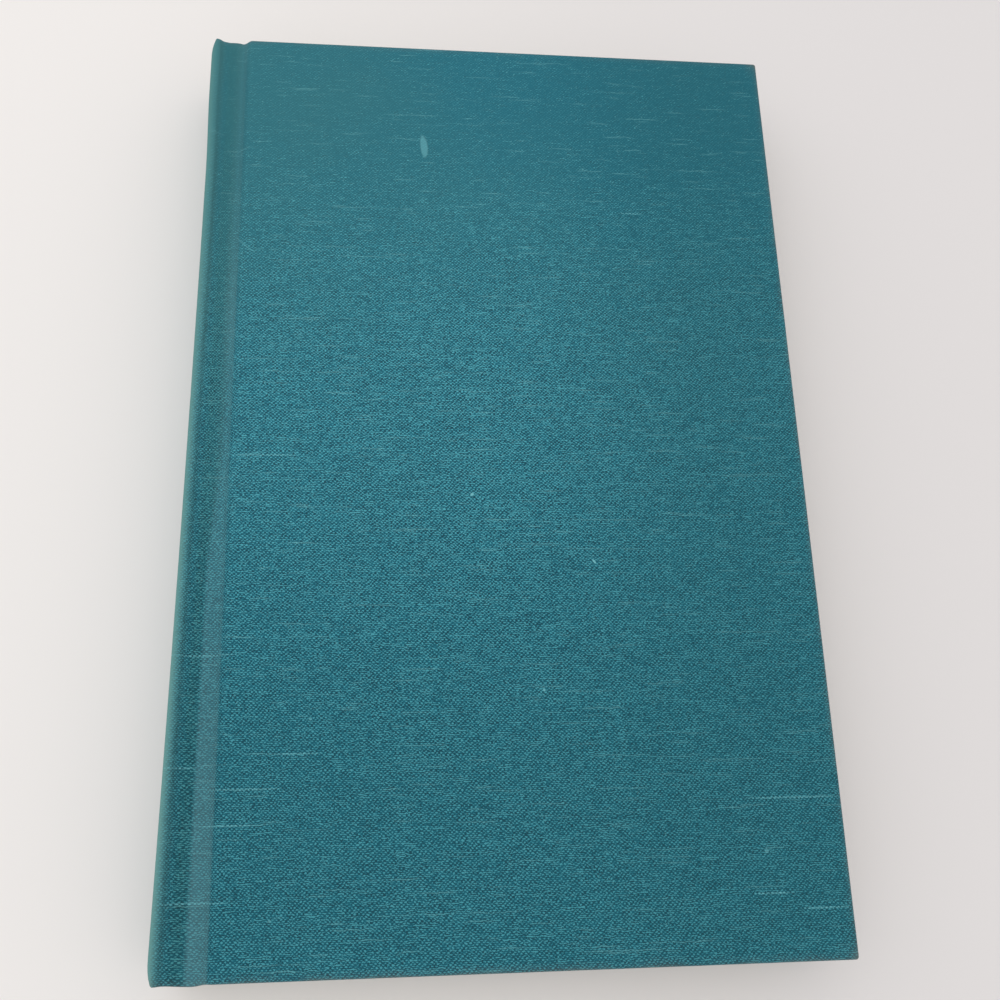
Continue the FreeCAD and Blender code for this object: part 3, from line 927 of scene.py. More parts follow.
@dataclass
class CaseCloth:
    """Half of the case's cloth: from the spine's middle over the joint and round one board.

    The sheet is a grid over the section's line and the book's length, closed by a rim on
    the three outer edges of the board and by folded ends at the spine and the joint.
    """

    sizes: BookSizes
    palette: Palette
    side: Side
    crest_radius: float = 1.2
    slope_radius: float = 2.2
    joint_depth: float = 1.85
    rise_start: float = 9.7
    rise_end: float = 12.4
    arris: float = 0.7
    fold: float = 0.32
    spine_fold: float = 0.31
    waist: float = 0.45
    cap_length: float = 6.0
    cap_inset: float = 1.0
    joint_drift: float = 1.45
    head_flare: float = 0.4
    head_short: float = 0.45
    tail_short: float = 0.4
    tail_reach: float = 12.0
    doubled: float = 0.62
    floor_end: float = 8.6
    board_reach: float = 1.6
    rows: int = 90

    def section(self) -> tuple[np.ndarray, np.ndarray]:
        """The section's outer line at mid-length, from the spine's middle to the board's rim.

        It is a quarter of the spine's arc, a round crest, a hollow slope, the joint's floor
        and a smoothstep rise to the cover's plane. Depths are below the cover's face.

        Returns:
            Distances from the spine's outermost line, and depths, in millimetres.
        """
        half = self.sizes.middle
        radius = self.sizes.spine_radius
        rise = half - self.crest_radius
        crest_x = radius - math.sqrt((radius - self.crest_radius) ** 2 - rise ** 2)
        floor = half - self.joint_depth
        lift = floor + self.slope_radius - rise
        slope_x = crest_x + math.sqrt((self.crest_radius + self.slope_radius) ** 2 - lift ** 2)
        lean = math.atan2(lift, slope_x - crest_x)
        tilt = math.atan2(rise, radius - crest_x)
        parts = [
            arc((radius, 0.0), radius, math.pi, math.pi - tilt, 12),
            arc((crest_x, rise), self.crest_radius, math.pi - tilt, lean, 12)[1:],
            arc((slope_x, floor + self.slope_radius), self.slope_radius, math.pi + lean, 1.5 * math.pi, 9)[1:],
        ]
        floor_x = np.linspace(slope_x, self.rise_start, 7)[1:]
        parts.append(np.stack([floor_x, np.full(len(floor_x), floor)], 1))
        share = np.linspace(0.0, 1.0, 13)[1:]
        climb = floor + self.joint_depth * smooth(share)
        parts.append(np.stack([self.rise_start + (self.rise_end - self.rise_start) * share, climb], 1))
        rim_x = self.sizes.right - self.sizes.left - self.arris
        plane_x = spread(self.rise_end, rim_x, 42, 0.85)[1:]
        parts.append(np.stack([plane_x, np.full(len(plane_x), half)], 1))
        line = np.concatenate(parts)
        return line[:, 0], half - line[:, 1]

    def build(self) -> bpy.types.Object:
        """Makes and dresses the half case, and bakes its transform.

        Returns:
            The finished object.
        """
        sizes = self.sizes
        x, depth = self.section()
        columns = len(x)
        board = int(np.searchsorted(x, self.rise_end - 1e-6))
        on_board = smooth((x - (self.rise_start - 1.5)) / (self.rise_end - self.rise_start + 1.0))
        end = sizes.spine_end + (sizes.cover_end - sizes.spine_end) * on_board
        round_out = self.spine_fold + (self.arris - self.spine_fold) * on_board
        along = spread(-1.0, 1.0, self.rows, 0.55)
        y = along[:, None] * (end - round_out)[None, :]
        body = self.place(x[None, :], depth[None, :], y)
        normals = self.normals(x, depth)
        cloth_x = np.concatenate([[0.0], np.cumsum(np.hypot(np.diff(x), np.diff(depth)))])
        cloth_x = cloth_x * self.side.value
        flat = np.stack([np.broadcast_to(cloth_x, y.shape), y, np.zeros_like(y)], -1)
        piece = MeshPiece(f"{self.side.word}_case_cloth")
        piece.add(body, grid_faces(self.rows, columns), flat=flat.reshape(-1, 3), rest=self.rest(body),
                  **self.marks(np.broadcast_to(x, y.shape), y))
        for finish in End:
            self.fold_end(piece, finish, x, depth, normals, cloth_x, end, round_out, on_board, board)
        self.fold_rim(piece, x, y, cloth_x, board)
        made = piece.finish(merge=2e-4, smooth_angle=1.2)
        add_uv(made, "flat")
        self.thicken(made)
        self.palette.dress(made, "book_cloth")
        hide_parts(f"{self.side.word}_cover_cloth", "spine_cloth")
        low, high = (sizes.top - 1.0, sizes.top + 1.0) if self.side is Side.FRONT else (1.0, -1.0)
        f"{self.side.word}_cover"
        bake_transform(made)
        return made

    def place(self, x: np.ndarray, depth: np.ndarray, y: np.ndarray) -> np.ndarray:
        """Puts points of the section into the book's frame, with the case's own unevenness.

        The spine draws in by a parabola at mid-length and by a rounded cap at both ends, and
        the joint drifts away from the spine towards the tail.

        Args:
            x: distance from the spine's outermost line.
            depth: depth below the cover's face.
            y: place along the book.

        Returns:
            Points in millimetres in the frame, mirrored for the back cover.
        """
        sizes = self.sizes
        share = y / sizes.cover_end
        near_spine = 1.0 - smooth((x - 2.5) / 6.0)
        drawn_in = self.waist * (1.0 - np.clip(np.abs(share), 0, 1) ** 2) * near_spine
        into_cap = np.clip((np.abs(y) - sizes.spine_end + self.cap_length) / self.cap_length, 0.0, 1.0)
        outer = 1.0 - smooth((x - 0.6) / 2.4)
        cap = self.cap_inset * into_cap ** 3 * outer
        on_crest = smooth(x / 0.9) * (1.0 - smooth((x - 2.5) / 2.5))
        flare = self.head_flare * smooth((y - 72.0) / 25.0) * on_crest
        px = sizes.left + x + drawn_in + cap - flare + self.drift(x, y)
        into_tail = smooth((-y - sizes.spine_end + self.tail_reach) / self.tail_reach)
        into_head = smooth((y - sizes.spine_end + 9.0) / 9.0)
        y = y + self.tail_short * into_tail * near_spine - self.head_short * into_head * on_crest
        pz = sizes.top - depth + np.zeros_like(px)
        if self.side is Side.BACK:
            pz = sizes.top - pz
        return np.stack(np.broadcast_arrays(px, y, pz), -1)

    def drift(self, x: np.ndarray, y: np.ndarray) -> np.ndarray:
        """How far the pressed joint has moved away from the spine: linearly towards the tail.

        Args:
            x: distances from the spine.
            y: places along the book.

        Returns:
            The shift in X, which fades out on both sides of the joint.
        """
        joint = smooth((x - 4.5) / 4.0) * (1.0 - smooth((x - 14.0) / 22.0))
        return -self.joint_drift * y / self.sizes.cover_end * joint

    def normals(self, x: np.ndarray, depth: np.ndarray) -> np.ndarray:
        """Unit normals of the section's line, pointing out of the cloth.

        Args:
            x: distances along the section.
            depth: depths along the section.

        Returns:
            Rows of the normal's x and its upward part.
        """
        dx, dz = np.gradient(x), -np.gradient(depth)
        length = np.hypot(dx, dz)
        return np.stack([-dz / length, dx / length], 1)

    def to_board(self, x: np.ndarray) -> np.ndarray:
        """How far a place has come from the joint's floor, 0, to the board, 1.

        Args:
            x: distances from the spine.

        Returns:
            The share at each place.
        """
        return smooth((x - self.floor_end) / self.board_reach)

    def marks(self, x: np.ndarray, y: np.ndarray, depth: np.ndarray | float = 0.0) -> dict[str, np.ndarray]:
        """Wear, the pressed joint and painted light by point: shade in the joint and towards the tail, sheen on the
        joint and near the head, highlight at the spine's edge.

        Args:
            x: distances from the spine.
            y: places along the book.
            depth: depth below the section's outer line.

        Returns:
            Flat arrays by attribute name.
        """
        sizes = self.sizes
        width = sizes.right - sizes.left
        end = sizes.spine_end + (sizes.cover_end - sizes.spine_end) * smooth((x - 8.0) / 3.0)
        to_edge = np.minimum(width - x, end - np.abs(y))
        tip = np.hypot(np.clip(width - x, 0, None), np.clip(sizes.cover_end - np.abs(y), 0, None))
        wear = np.exp(-np.clip(to_edge, 0, None) / 0.45) * (0.3 + 0.4 * smooth((x - 8.0) / 4.0))
        wear = wear + 0.9 * np.exp(-tip / 1.3)
        spine_tip = np.hypot(x - 1.5, np.clip(sizes.spine_end - np.abs(y), 0, None))
        wear = (wear + 0.4 * np.exp(-spine_tip / 0.7)) * np.exp(-np.clip(depth - 0.25, 0, None) / 0.45)
        # Painted shade, stronger towards the tail and the fore-edge
        broad_painted_shade = 1.0 - (1.0 - 0.75 * smooth((25.0 - y) / 110.0)) * (1.0 - 0.75 * smooth((x - 65.0) / 65.0))
        # Partly rubbing wear, partly painted highlight along the spine's rounded edge and the crest's foot
        foot = (0.12 + 0.21 * smooth(y / 40.0)) * np.exp(-((x - 3.3) / 0.9) ** 2)
        inward = np.where(x < 1.1, 0.55, 1.5)
        rub_and_highlight = 1.3 * np.exp(-((x - 1.1) / inward) ** 2) + foot
        tailward = smooth((5.0 - y) / 40.0)
        # Painted sheen on the joint's pressed rise, whose weave is also flattened
        start, stop = 9.7 - 2.6 * tailward, 11.1 + 0.1 * tailward
        strength = 0.65 + 0.05 * tailward + 0.3 * smooth((-y - 35.0) / 60.0)
        strength = strength + 0.5 * np.exp(-((y - 37.0) / 16.0) ** 2)
        rise = 2.8 - 2.0 * tailward
        pressed = smooth((x - start - 0.4) / rise + 1.0) * (1.0 - smooth((x - stop + 0.3) / 0.6)) * strength
        # Painted shade in the joint's hollow, between the crest and the pressed rise
        sunk = smooth((x - 3.8) / 2.0) * (1.0 - smooth((x - start + 0.6) / 1.0)) * (0.9 + 0.1 * tailward)
        # Painted sheen haze, strongest at the head on the spine side
        sheen_haze = smooth((y / sizes.cover_end + 0.55) / 1.5) * (1.0 - 0.75 * smooth(x / width))
        relief = 1.0 - 0.7 * smooth((y - 20.0) / 75.0)
        relief = relief + 0.25 * np.exp(-((x - 70.0) / 32.0) ** 2 - ((y + 10.0) / 50.0) ** 2)
        values = {"wear": wear, "rub_and_highlight": rub_and_highlight, "pressed": pressed, "sunk": sunk, "sheen_haze": sheen_haze, "relief": relief,
                  "broad_painted_shade": broad_painted_shade}
        return {name: np.broadcast_to(value, x.shape).ravel() for name, value in values.items()}

    def rest(self, points: np.ndarray) -> np.ndarray:
        """Where each point lies on the front cover, with its depth below the cover's face.

        Args:
            points: points in millimetres in the frame.

        Returns:
            Rows of X, Y and depth. The back cover's depth is out of the marks' reach.
        """
        flat = points.reshape(-1, 3).copy()
        flat[:, 2] = self.sizes.top - flat[:, 2]
        return flat

    def fold_end(self, piece: MeshPiece, finish: End, x: np.ndarray, depth: np.ndarray, normals: np.ndarray,
                 cloth_x: np.ndarray, end: np.ndarray, round_out: np.ndarray, on_board: np.ndarray,
                 board: int) -> None:
        """Turns the cloth in over the end of the spine and of the joint.

        Each point of the section runs outwards round an arc, inwards along its normal, round
        a second arc and back along Y as the turn-in.

        Args:
            piece: the mesh to add to.
            finish: head or tail.
            x: distances of the section.
            depth: depths of the section.
            normals: the section's normals.
            cloth_x: length along the cloth.
            end: outermost Y of each column.
            round_out: radius of the outer arc of each column.
            on_board: 0 on the spine to 1 on the board. Not used.
            board: number of the column where the board's rim begins.
        """
        sizes = self.sizes
        keep = slice(0, board + 1)
        over_inlay = self.doubled + sizes.inlay * (1.0 - smooth((x[keep] - 0.7) / 0.8))
        level = (sizes.top - sizes.turn_in_level) * self.to_board(x[keep])
        level = level + (depth[keep] + self.doubled) * (1.0 - self.to_board(x[keep]))
        total = np.maximum(over_inlay, level - depth[keep])
        upright = smooth((x[keep] - 4.0) / 2.0)[:, None]
        normals = normals[keep] * (1.0 - upright) + np.array([[0.0, 1.0]]) * upright
        outward, inward = self.profile(round_out[keep], np.full(board + 1, self.fold), total)
        span = end[keep] - round_out[keep]
        y = finish.value * (span[None, :] + outward)
        sunk_x = x[keep][None, :] - normals[keep, 0][None, :] * inward
        sunk_depth = depth[keep][None, :] + normals[keep, 1][None, :] * inward
        points = self.place(x[keep][None, :], depth[keep][None, :], y)
        shift = self.place(sunk_x, sunk_depth, y)
        points[..., 2] = shift[..., 2]
        points[..., 0] += sunk_x - x[keep][None, :]
        run = np.concatenate([np.zeros((1, board + 1)), np.cumsum(
            np.hypot(np.diff(outward, axis=0), np.diff(inward, axis=0)), axis=0)])
        flat_y = finish.value * (span[None, :] + run)
        flat = np.stack([np.broadcast_to(cloth_x[keep], y.shape), flat_y, np.zeros_like(y)], -1)
        piece.add(points, grid_faces(len(outward), board + 1), flat=flat.reshape(-1, 3), rest=self.rest(points),
                  **self.marks(np.broadcast_to(x[keep], y.shape), y, inward))

    def profile(self, outer: np.ndarray, inner: np.ndarray, total: np.ndarray) -> tuple[np.ndarray, np.ndarray]:
        """The folded edge's profile: an arc out and down, a flat side, an arc in and the turn-in.

        Args:
            outer: radius of the first arc, by column.
            inner: radius of the second arc, by column.
            total: depth from the face to the turn-in's face, by column.

        Returns:
            How far out, and how far in depth, each point of the profile lies, by column.
        """
        inner = np.minimum(inner, total - outer)
        turn = np.linspace(0.0, math.pi / 2, 7)[:, None]
        side = np.linspace(0.0, 1.0, 4)[1:, None]
        back = np.linspace(0.0, 1.0, 9)[1:, None] ** 1.6
        first_out, first_in = outer * np.sin(turn), outer * (1 - np.cos(turn))
        side_in = outer + (total - inner - outer) * side
        second_out, second_in = outer - inner * (1 - np.cos(turn[1:])), total - inner * (1 - np.sin(turn[1:]))
        back_out = outer - inner - (self.sizes.turn_in - inner) * back
        outward = np.concatenate([first_out, np.broadcast_to(outer, side_in.shape), second_out, back_out])
        inward = np.concatenate([first_in, side_in, second_in, np.broadcast_to(total, back_out.shape)])
        return outward, inward

    def fold_rim(self, piece: MeshPiece, x: np.ndarray, y: np.ndarray, cloth_x: np.ndarray, board: int) -> None:
        """Turns the cloth in round the board's head, fore-edge and tail, with mitred corners.

        The profile is carried along the rim. A station at distance d inside the edge is held
        short of the other edge by the same d, so that the turn-ins meet on a mitre.

        Args:
            piece: the mesh to add to.
            x: distances of the section.
            y: places of the grid's points along the book.
            cloth_x: length along the cloth.
            board: number of the column where the rim begins.
        """
        sizes = self.sizes
        width = sizes.right - sizes.left
        total = sizes.top - sizes.turn_in_level
        out, sunk = self.profile(np.array([self.arris]), np.array([self.fold]), np.array([total]))
        out, sunk = out[:, 0], sunk[:, 0]
        inset = self.arris - out
        fan = np.linspace(0.0, math.pi / 2, 7)[1:-1]
        corner_x, corner_y = x[-1], sizes.cover_end - self.arris
        runs = [
            (x[board:], np.full(len(x) - board, -corner_y), "tail"),
            (corner_x + np.sin(fan) * 0, np.full(len(fan), -corner_y), "tail_corner"),
            (np.full(self.rows, corner_x), y[:, -1], "fore"),
            (corner_x + np.sin(fan) * 0, np.full(len(fan), corner_y), "head_corner"),
            (x[board:][::-1], np.full(len(x) - board, corner_y), "head"),
        ]
        stations_x, stations_y, cloth = [], [], []
        for base_x, base_y, kind in runs:
            column_x, column_y = base_x[None, :], base_y[None, :]
            grown, shrunk = out[:, None], inset[:, None]
            if kind in ("tail", "head"):
                sign = 1.0 if kind == "head" else -1.0
                px = np.minimum(column_x, width - shrunk)
                py = sign * (sizes.cover_end - shrunk) + 0 * column_x
            elif kind == "fore":
                px = width - shrunk + 0 * column_y
                limit = sizes.cover_end - shrunk
                py = np.clip(column_y, -limit, limit)
            else:
                sign = 1.0 if kind == "head_corner" else -1.0
                angle = fan[None, :] if sign < 0 else fan[None, ::-1]
                reach = np.clip(grown, 0.0, None)
                px = np.minimum(column_x, width - shrunk) + reach * np.sin(angle)
                py = sign * (np.minimum(corner_y, sizes.cover_end - shrunk) + reach * np.cos(angle))
            stations_x.append(px)
            stations_y.append(py)
            cloth.append(np.stack(np.broadcast_arrays(
                np.minimum(column_x, corner_x) + (kind == "fore") * (out[:, None] * 1.0),
                column_y + 0 * px, 0 * px), -1))
        all_x, all_y = np.concatenate(stations_x, 1), np.concatenate(stations_y, 1)
        flat = np.concatenate(cloth, 1)
        run = np.concatenate([[0.0], np.cumsum(np.hypot(np.diff(out), np.diff(sunk)))])[:, None]
        along_x = cloth_x[-1] + self.side.value * (np.minimum(all_x, corner_x) - corner_x)
        on_fore = (np.abs(flat[..., 1]) < corner_y - 1e-6)
        flat_x = np.where(on_fore, cloth_x[-1] + self.side.value * run, along_x)
        flat_y = np.where(on_fore, all_y, np.sign(all_y) * (corner_y + run))
        points = self.place(all_x, sunk[:, None], all_y)
        marks = self.marks(all_x, all_y, sunk[:, None])
        inside = (np.broadcast_to(sunk[:, None], all_x.shape).ravel() > total - 1e-3)
        marks["wear"] = np.where(inside, 0.0, marks["wear"])
        piece.add(points, grid_faces(len(out), all_x.shape[1]), rest=self.rest(points),
                  flat=np.stack([flat_x, flat_y, 0 * flat_x], -1).reshape(-1, 3), **marks)

    def thicken(self, piece: bpy.types.Object) -> None:
        """Gives the sheet its thickness, inwards, and applies it.

        Args:
            piece: the object to thicken.
        """
        wall = piece.modifiers.new("thickness", "SOLIDIFY")
        wall.thickness = 0.28 * MM
        wall.offset = -1.0
        wall.use_even_offset = False
        bake_modifiers(piece)
        piece.data.set_sharp_from_angle(angle=0.9)


def bake_modifiers(piece: bpy.types.Object) -> None:
    """Replaces a piece's mesh by what its modifiers make of it.

    Args:
        piece: the object whose modifiers are applied.
    """
    graph = bpy.context.evaluated_depsgraph_get()
    made = bpy.data.meshes.new_from_object(piece.evaluated_get(graph), preserve_all_data_layers=True, depsgraph=graph)
    piece.modifiers.clear()
    piece.data = made


@dataclass
class Pages:
    """The sewn pages: leaves with uneven cut edges, a rounded back and a hollow fore-edge."""

    sizes: BookSizes
    palette: Palette
    leaves: int = 150
    hollow: float = 1.8
    uneven: float = 0.05

    def build(self) -> bpy.types.Object:
        """Makes the pages as one closed mesh, two rows of points to a leaf.

        A leaf at height share s lies at s times the half thickness, which flares by a
        smoothstep towards the back. Its back end lies on the spine's arc and its fore-edge
        end on a hollow arc.

        Returns:
            The finished object.
        """
        sizes = self.sizes
        chance = np.random.default_rng(11)
        edges = np.linspace(-1.0, 1.0, self.leaves + 1)
        share = np.stack([edges[:-1] + 0.002, edges[1:] - 0.002], 1).ravel()
        leaf = np.repeat(np.arange(self.leaves), 2)
        cut = chance.normal(0.0, self.uneven, (3, self.leaves))[:, leaf]
        gather = 0.07 * (np.sin(leaf * 2 * math.pi / 16.0) > 0.93)
        stations = 1.0 - np.cos(np.linspace(0.0, math.pi / 2, 26)) ** 1.0
        flare = sizes.pages_half
        back_z = share * (flare + sizes.shoulder_rise)
        radius = sizes.spine_radius - sizes.spine_layers
        back_x = sizes.left + sizes.spine_radius - np.sqrt(radius ** 2 - back_z ** 2)
        fore_x = sizes.pages_right - self.hollow * (1.0 - share ** 2)
        length = (fore_x - back_x)[:, None]
        x = back_x[:, None] + length * stations[None, :]
        from_back = (x - back_x[:, None]) / sizes.shoulder_length
        z = sizes.middle + share[:, None] * (flare + sizes.shoulder_rise * (1.0 - smooth(from_back)))
        head_y = sizes.pages_end + (cut[0] - gather)[:, None] + 0 * x
        tail_y = -sizes.pages_end + (cut[1] + gather)[:, None] + 0 * x
        fore_y = np.linspace(1.0, -1.0, 14)[None, 1:-1]
        head = np.stack([x, head_y, z], -1)
        tail = np.stack([x, tail_y, z], -1)[:, ::-1]
        side_y = head_y[:, -1:] * (1 + fore_y) / 2 + tail_y[:, -1:] * (1 - fore_y) / 2
        ripple = 0.04 * np.sin(side_y / 9.0 + leaf[:, None] * 0.7)
        side_x = fore_x[:, None] + cut[2][:, None] + ripple
        side = np.stack([side_x, side_y, sizes.middle + share[:, None] * flare + 0 * side_y], -1)
        loop = np.concatenate([head, side, tail], 1)
        rows, columns = loop.shape[:2]
        piece = MeshPiece("pages")
        number = np.broadcast_to(leaf[:, None] * 1.7, (rows, columns))
        piece.add(loop, grid_faces(rows, columns, closed=True), leaf=number.ravel())
        count = len(stations)
        head_numbers = np.arange(count)
        tail_numbers = columns - 1 - head_numbers
        for row in (0, rows - 1):
            base = row * columns
            strip = np.stack([head_numbers[:-1], head_numbers[1:], tail_numbers[1:], tail_numbers[:-1]], 1)
            piece.join(strip + base)
            fore = np.arange(count - 1, count + side_y.shape[1] + 1)
            piece.join(np.array([fore + base]))
        made = piece.finish(smooth_angle=0.5)
        self.palette.dress(made, "page_paper")
        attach(made, "text_block")
        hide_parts("text_block")
        return made


@dataclass
class Mull:
    """The open cloth glued round the back of the pages and a little way onto both shoulders."""

    sizes: BookSizes
    palette: Palette
    reach: float = 9.0
    setback: float = 12.0
    gap: float = 0.02
    thick: float = 0.09

    def build(self) -> bpy.types.Object:
        """Makes the mull: the pages' own section, set off outwards and carried along the book.

        Returns:
            The finished object.
        """
        sizes = self.sizes
        radius = sizes.spine_radius - sizes.spine_layers
        rise = sizes.pages_half + sizes.shoulder_rise
        turn = math.asin(rise / radius)
        over = np.linspace(self.reach, sizes.shoulder_start + 0.3, 14)
        half = np.stack([over, sizes.middle - sizes.shoulder(over)], 1)
        back = arc((sizes.spine_radius, 0.0), radius, math.pi - turn, math.pi + turn, 25)
        line = np.concatenate([half, back, half[::-1] * np.array([1.0, -1.0])])
        slope = np.gradient(line, axis=0)
        outward = np.stack([-slope[:, 1], slope[:, 0]], 1) / np.hypot(slope[:, 0], slope[:, 1])[:, None]
        outward *= -np.sign(outward[len(line) // 2, 0])
        near, far = line + outward * self.gap, line + outward * (self.gap + self.thick)
        loop = np.concatenate([near, far[::-1]])
        end = sizes.pages_end - self.setback
        y = np.linspace(-end, end, 21)
        points = np.stack(np.broadcast_arrays(
            sizes.left + loop[None, :, 0], y[:, None], sizes.middle + loop[None, :, 1]), -1)
        piece = MeshPiece("open_mull")
        piece.add(points, grid_faces(len(y), len(loop), closed=True))
        count = len(line)
        first = np.arange(count - 1)
        quads = np.stack([first, first + 1, 2 * count - 2 - first, 2 * count - 1 - first], 1)
        piece.join(quads)
        piece.join(quads[:, ::-1] + (len(y) - 1) * len(loop))
        made = piece.finish(smooth_angle=0.6)
        self.palette.dress(made, "mull_cloth")
        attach(made, "text_block")
        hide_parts("mull")
        return made


@dataclass
class Endpaper:
    """One folded endpaper: a flyleaf on the pages and a pastedown carried over the joint."""

    cloth: CaseCloth
    shoulder_x: float = 3.0
    slope_end: float = 8.2
    lifted: float = 0.17
    joint_level: float = 2.6

    @property
    def sizes(self) -> BookSizes:
        """The book's sizes."""
        return self.cloth.sizes

    @property
    def side(self) -> Side:
        """The cover that this endpaper joins."""
        return self.cloth.side

    def to_frame(self, x: np.ndarray, y: np.ndarray, depth: np.ndarray) -> np.ndarray:
        """Points in the book's frame from distances to the spine and the cover's face.

        Args:
            x: distance from the spine's outermost line.
            y: place along the book.
            depth: depth below the cover's face.

        Returns:
            Points in millimetres, mirrored for the back cover.
        """
        height = self.sizes.top - depth
        if self.side is Side.BACK:
            height = self.sizes.top - height
        return np.stack(np.broadcast_arrays(self.sizes.left + x, y, height), -1)

    def sheet(self, name: str, x: np.ndarray, y: np.ndarray, depth: np.ndarray,
              drifts: bool = False) -> bpy.types.Object:
        """A thin closed sheet over a grid of points.

        Args:
            name: the piece's name.
            x: distances from the spine, by column.
            y: places along the book, by row.
            depth: depths, by row and column.
            drifts: whether the sheet moves with the pressed joint.

        Returns:
            The sheet as an object.
        """
        grid_x, grid_y = np.broadcast_arrays(x[None, :], y[:, None])
        if drifts:
            grid_x = grid_x + self.cloth.drift(grid_x, grid_y)
        lower = depth + self.sizes.paper * 0.8
        face = self.to_frame(grid_x, grid_y, depth)
        under = self.to_frame(grid_x, grid_y, lower)
        rows, columns = grid_x.shape
        piece = MeshPiece(name)
        piece.add(face, grid_faces(rows, columns))
        piece.add(under, grid_faces(rows, columns)[:, ::-1])
        numbers = np.arange(rows * columns).reshape(rows, columns)
        rim = np.concatenate([numbers[0], numbers[1:, -1], numbers[-1, -2::-1], numbers[-2:0:-1, 0]])
        after = np.roll(rim, -1)
        piece.join(np.stack([rim, after, after + rows * columns, rim + rows * columns], 1))
        made = piece.finish(merge=1e-6, smooth_angle=0.9)
        self.cloth.palette.dress(made, "endpaper")
        return made

    def build(self) -> list[bpy.types.Object]:
        """Makes the flyleaf and the pastedown.

        Returns:
            Both objects.
        """
        return [self.build_flyleaf(), self.build_pastedown()]

    def build_flyleaf(self) -> bpy.types.Object:
        """The free leaf: flat on the pages, and up their shoulder by a smoothstep.

        Returns:
            The flyleaf.
        """
        sizes = self.sizes
        fore = sizes.pages_right - sizes.left - 0.1
        x = np.concatenate([np.linspace(self.shoulder_x, self.slope_end, 16), spread(self.slope_end, fore, 24, 0.5)[1:]])
        y = spread(-sizes.pages_end + 0.05, sizes.pages_end - 0.05, 30, 0.5)
        depth = sizes.shoulder(x) - self.lifted
        lift = 0.05 * np.exp(-((x[None, :] - fore) / 20.0) ** 2) * np.cos(y[:, None] / 60.0) ** 2
        made = self.sheet(f"{self.side.word}_free_leaf", x, y, depth[None, :] - lift * 0.5)
        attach(made, "text_block")
        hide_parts(f"{self.side.word}_flyleaf")
        return made

    def build_pastedown(self) -> bpy.types.Object:
        """The glued leaf: down from the shoulder through the joint, and stepped over the turn-ins.

        Its face is one paper below the board inside the turn-ins and one paper below them at
        their edges, with a short rise between.

        Returns:
            The pastedown.
        """
        sizes = self.sizes
        fore = sizes.pages_right - sizes.left
        width = sizes.right - sizes.left
        window_x = width - sizes.turn_in
        window_y = sizes.cover_end - sizes.turn_in
        board = sizes.board_left - sizes.left
        foot, top = -1.4, -0.1
        x = np.concatenate([
            np.linspace(self.shoulder_x, board + 1.0, 34), spread(board + 1.0, window_x + foot, 14, 0.4)[1:],
            np.linspace(window_x + foot, window_x + top, 9)[1:], np.linspace(window_x + top, fore, 8)[1:],
        ])
        inner_y = np.linspace(window_y + foot, window_y + top, 9)
        outer_y = np.linspace(window_y + top, sizes.pages_end, 8)[1:]
        positive = np.concatenate([inner_y, outer_y])
        y = np.concatenate([-positive[::-1], spread(-window_y - foot, window_y + foot, 20)[1:-1], positive])
        over_x = smooth((x[None, :] - window_x - foot) / (top - foot))
        over_y = smooth((np.abs(y[:, None]) - window_y - foot) / (top - foot))
        step = sizes.cloth * np.maximum(over_x, over_y)
        panel = sizes.top - sizes.board_level + 0.02
        to_board = smooth((x - board + 2.0) / 1.9)
        on_pages = np.minimum(sizes.shoulder(x) - self.lifted - sizes.paper, self.joint_level)
        run = on_pages * (1.0 - to_board) + panel * to_board
        depth = run[None, :] + step * to_board[None, :]
        made = self.sheet(f"{self.side.word}_glued_leaf", x, y, depth, drifts=True)
        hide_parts(f"{self.side.word}_pastedown")
        height = (sizes.top - 1.0 if self.side is Side.FRONT else 1.0) * MM
        f"{self.side.word}_cover"
        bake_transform(made)
        return made


@dataclass
class Board:
    """A board, whose edge at the joint is pressed to the slope of the cloth over it."""

    cloth: CaseCloth
    gap: float = 0.1

    def build(self) -> bpy.types.Object:
        """Makes the board: a slab whose top follows the cloth's section, less the cloth.

        Returns:
            The finished object.
        """
        cloth, sizes = self.cloth, self.cloth.sizes
        rise = np.linspace(sizes.board_left - sizes.left + self.gap, cloth.rise_end, 8)
        climb = smooth((rise - cloth.rise_start) / (cloth.rise_end - cloth.rise_start))
        under = sizes.cloth + self.gap + cloth.joint_depth * (1.0 - climb) * 1.12
        far = sizes.right - sizes.left - sizes.cloth - self.gap
        low = sizes.top - sizes.board_level - self.gap
        x = np.concatenate([rise, [30.0, 60.0, 100.0, far - 0.4, far, far, rise[0]]])
        flat = sizes.cloth + self.gap
        depth = np.concatenate([under, [flat, flat, flat, flat, flat + 0.4, low, low]])
        end = sizes.cover_end - sizes.cloth - self.gap
        y = np.linspace(-end, end, 25)
        grid_x, grid_y = np.broadcast_arrays(x[None, :], y[:, None])
        points = cloth.place(grid_x, depth[None, :], grid_y)
        piece = MeshPiece(f"{cloth.side.word}_cover_board")
        piece.add(points, grid_faces(len(y), len(x), closed=True))
        last = (len(y) - 1) * len(x)
        piece.join(np.array([np.arange(len(x)), last + np.arange(len(x))[::-1]]))
        made = piece.finish(smooth_angle=0.3)
        cloth.palette.dress(made, "grey_board")
        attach(made, f"{cloth.side.word}_cover")
        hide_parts(f"{cloth.side.word}_board")
        return made


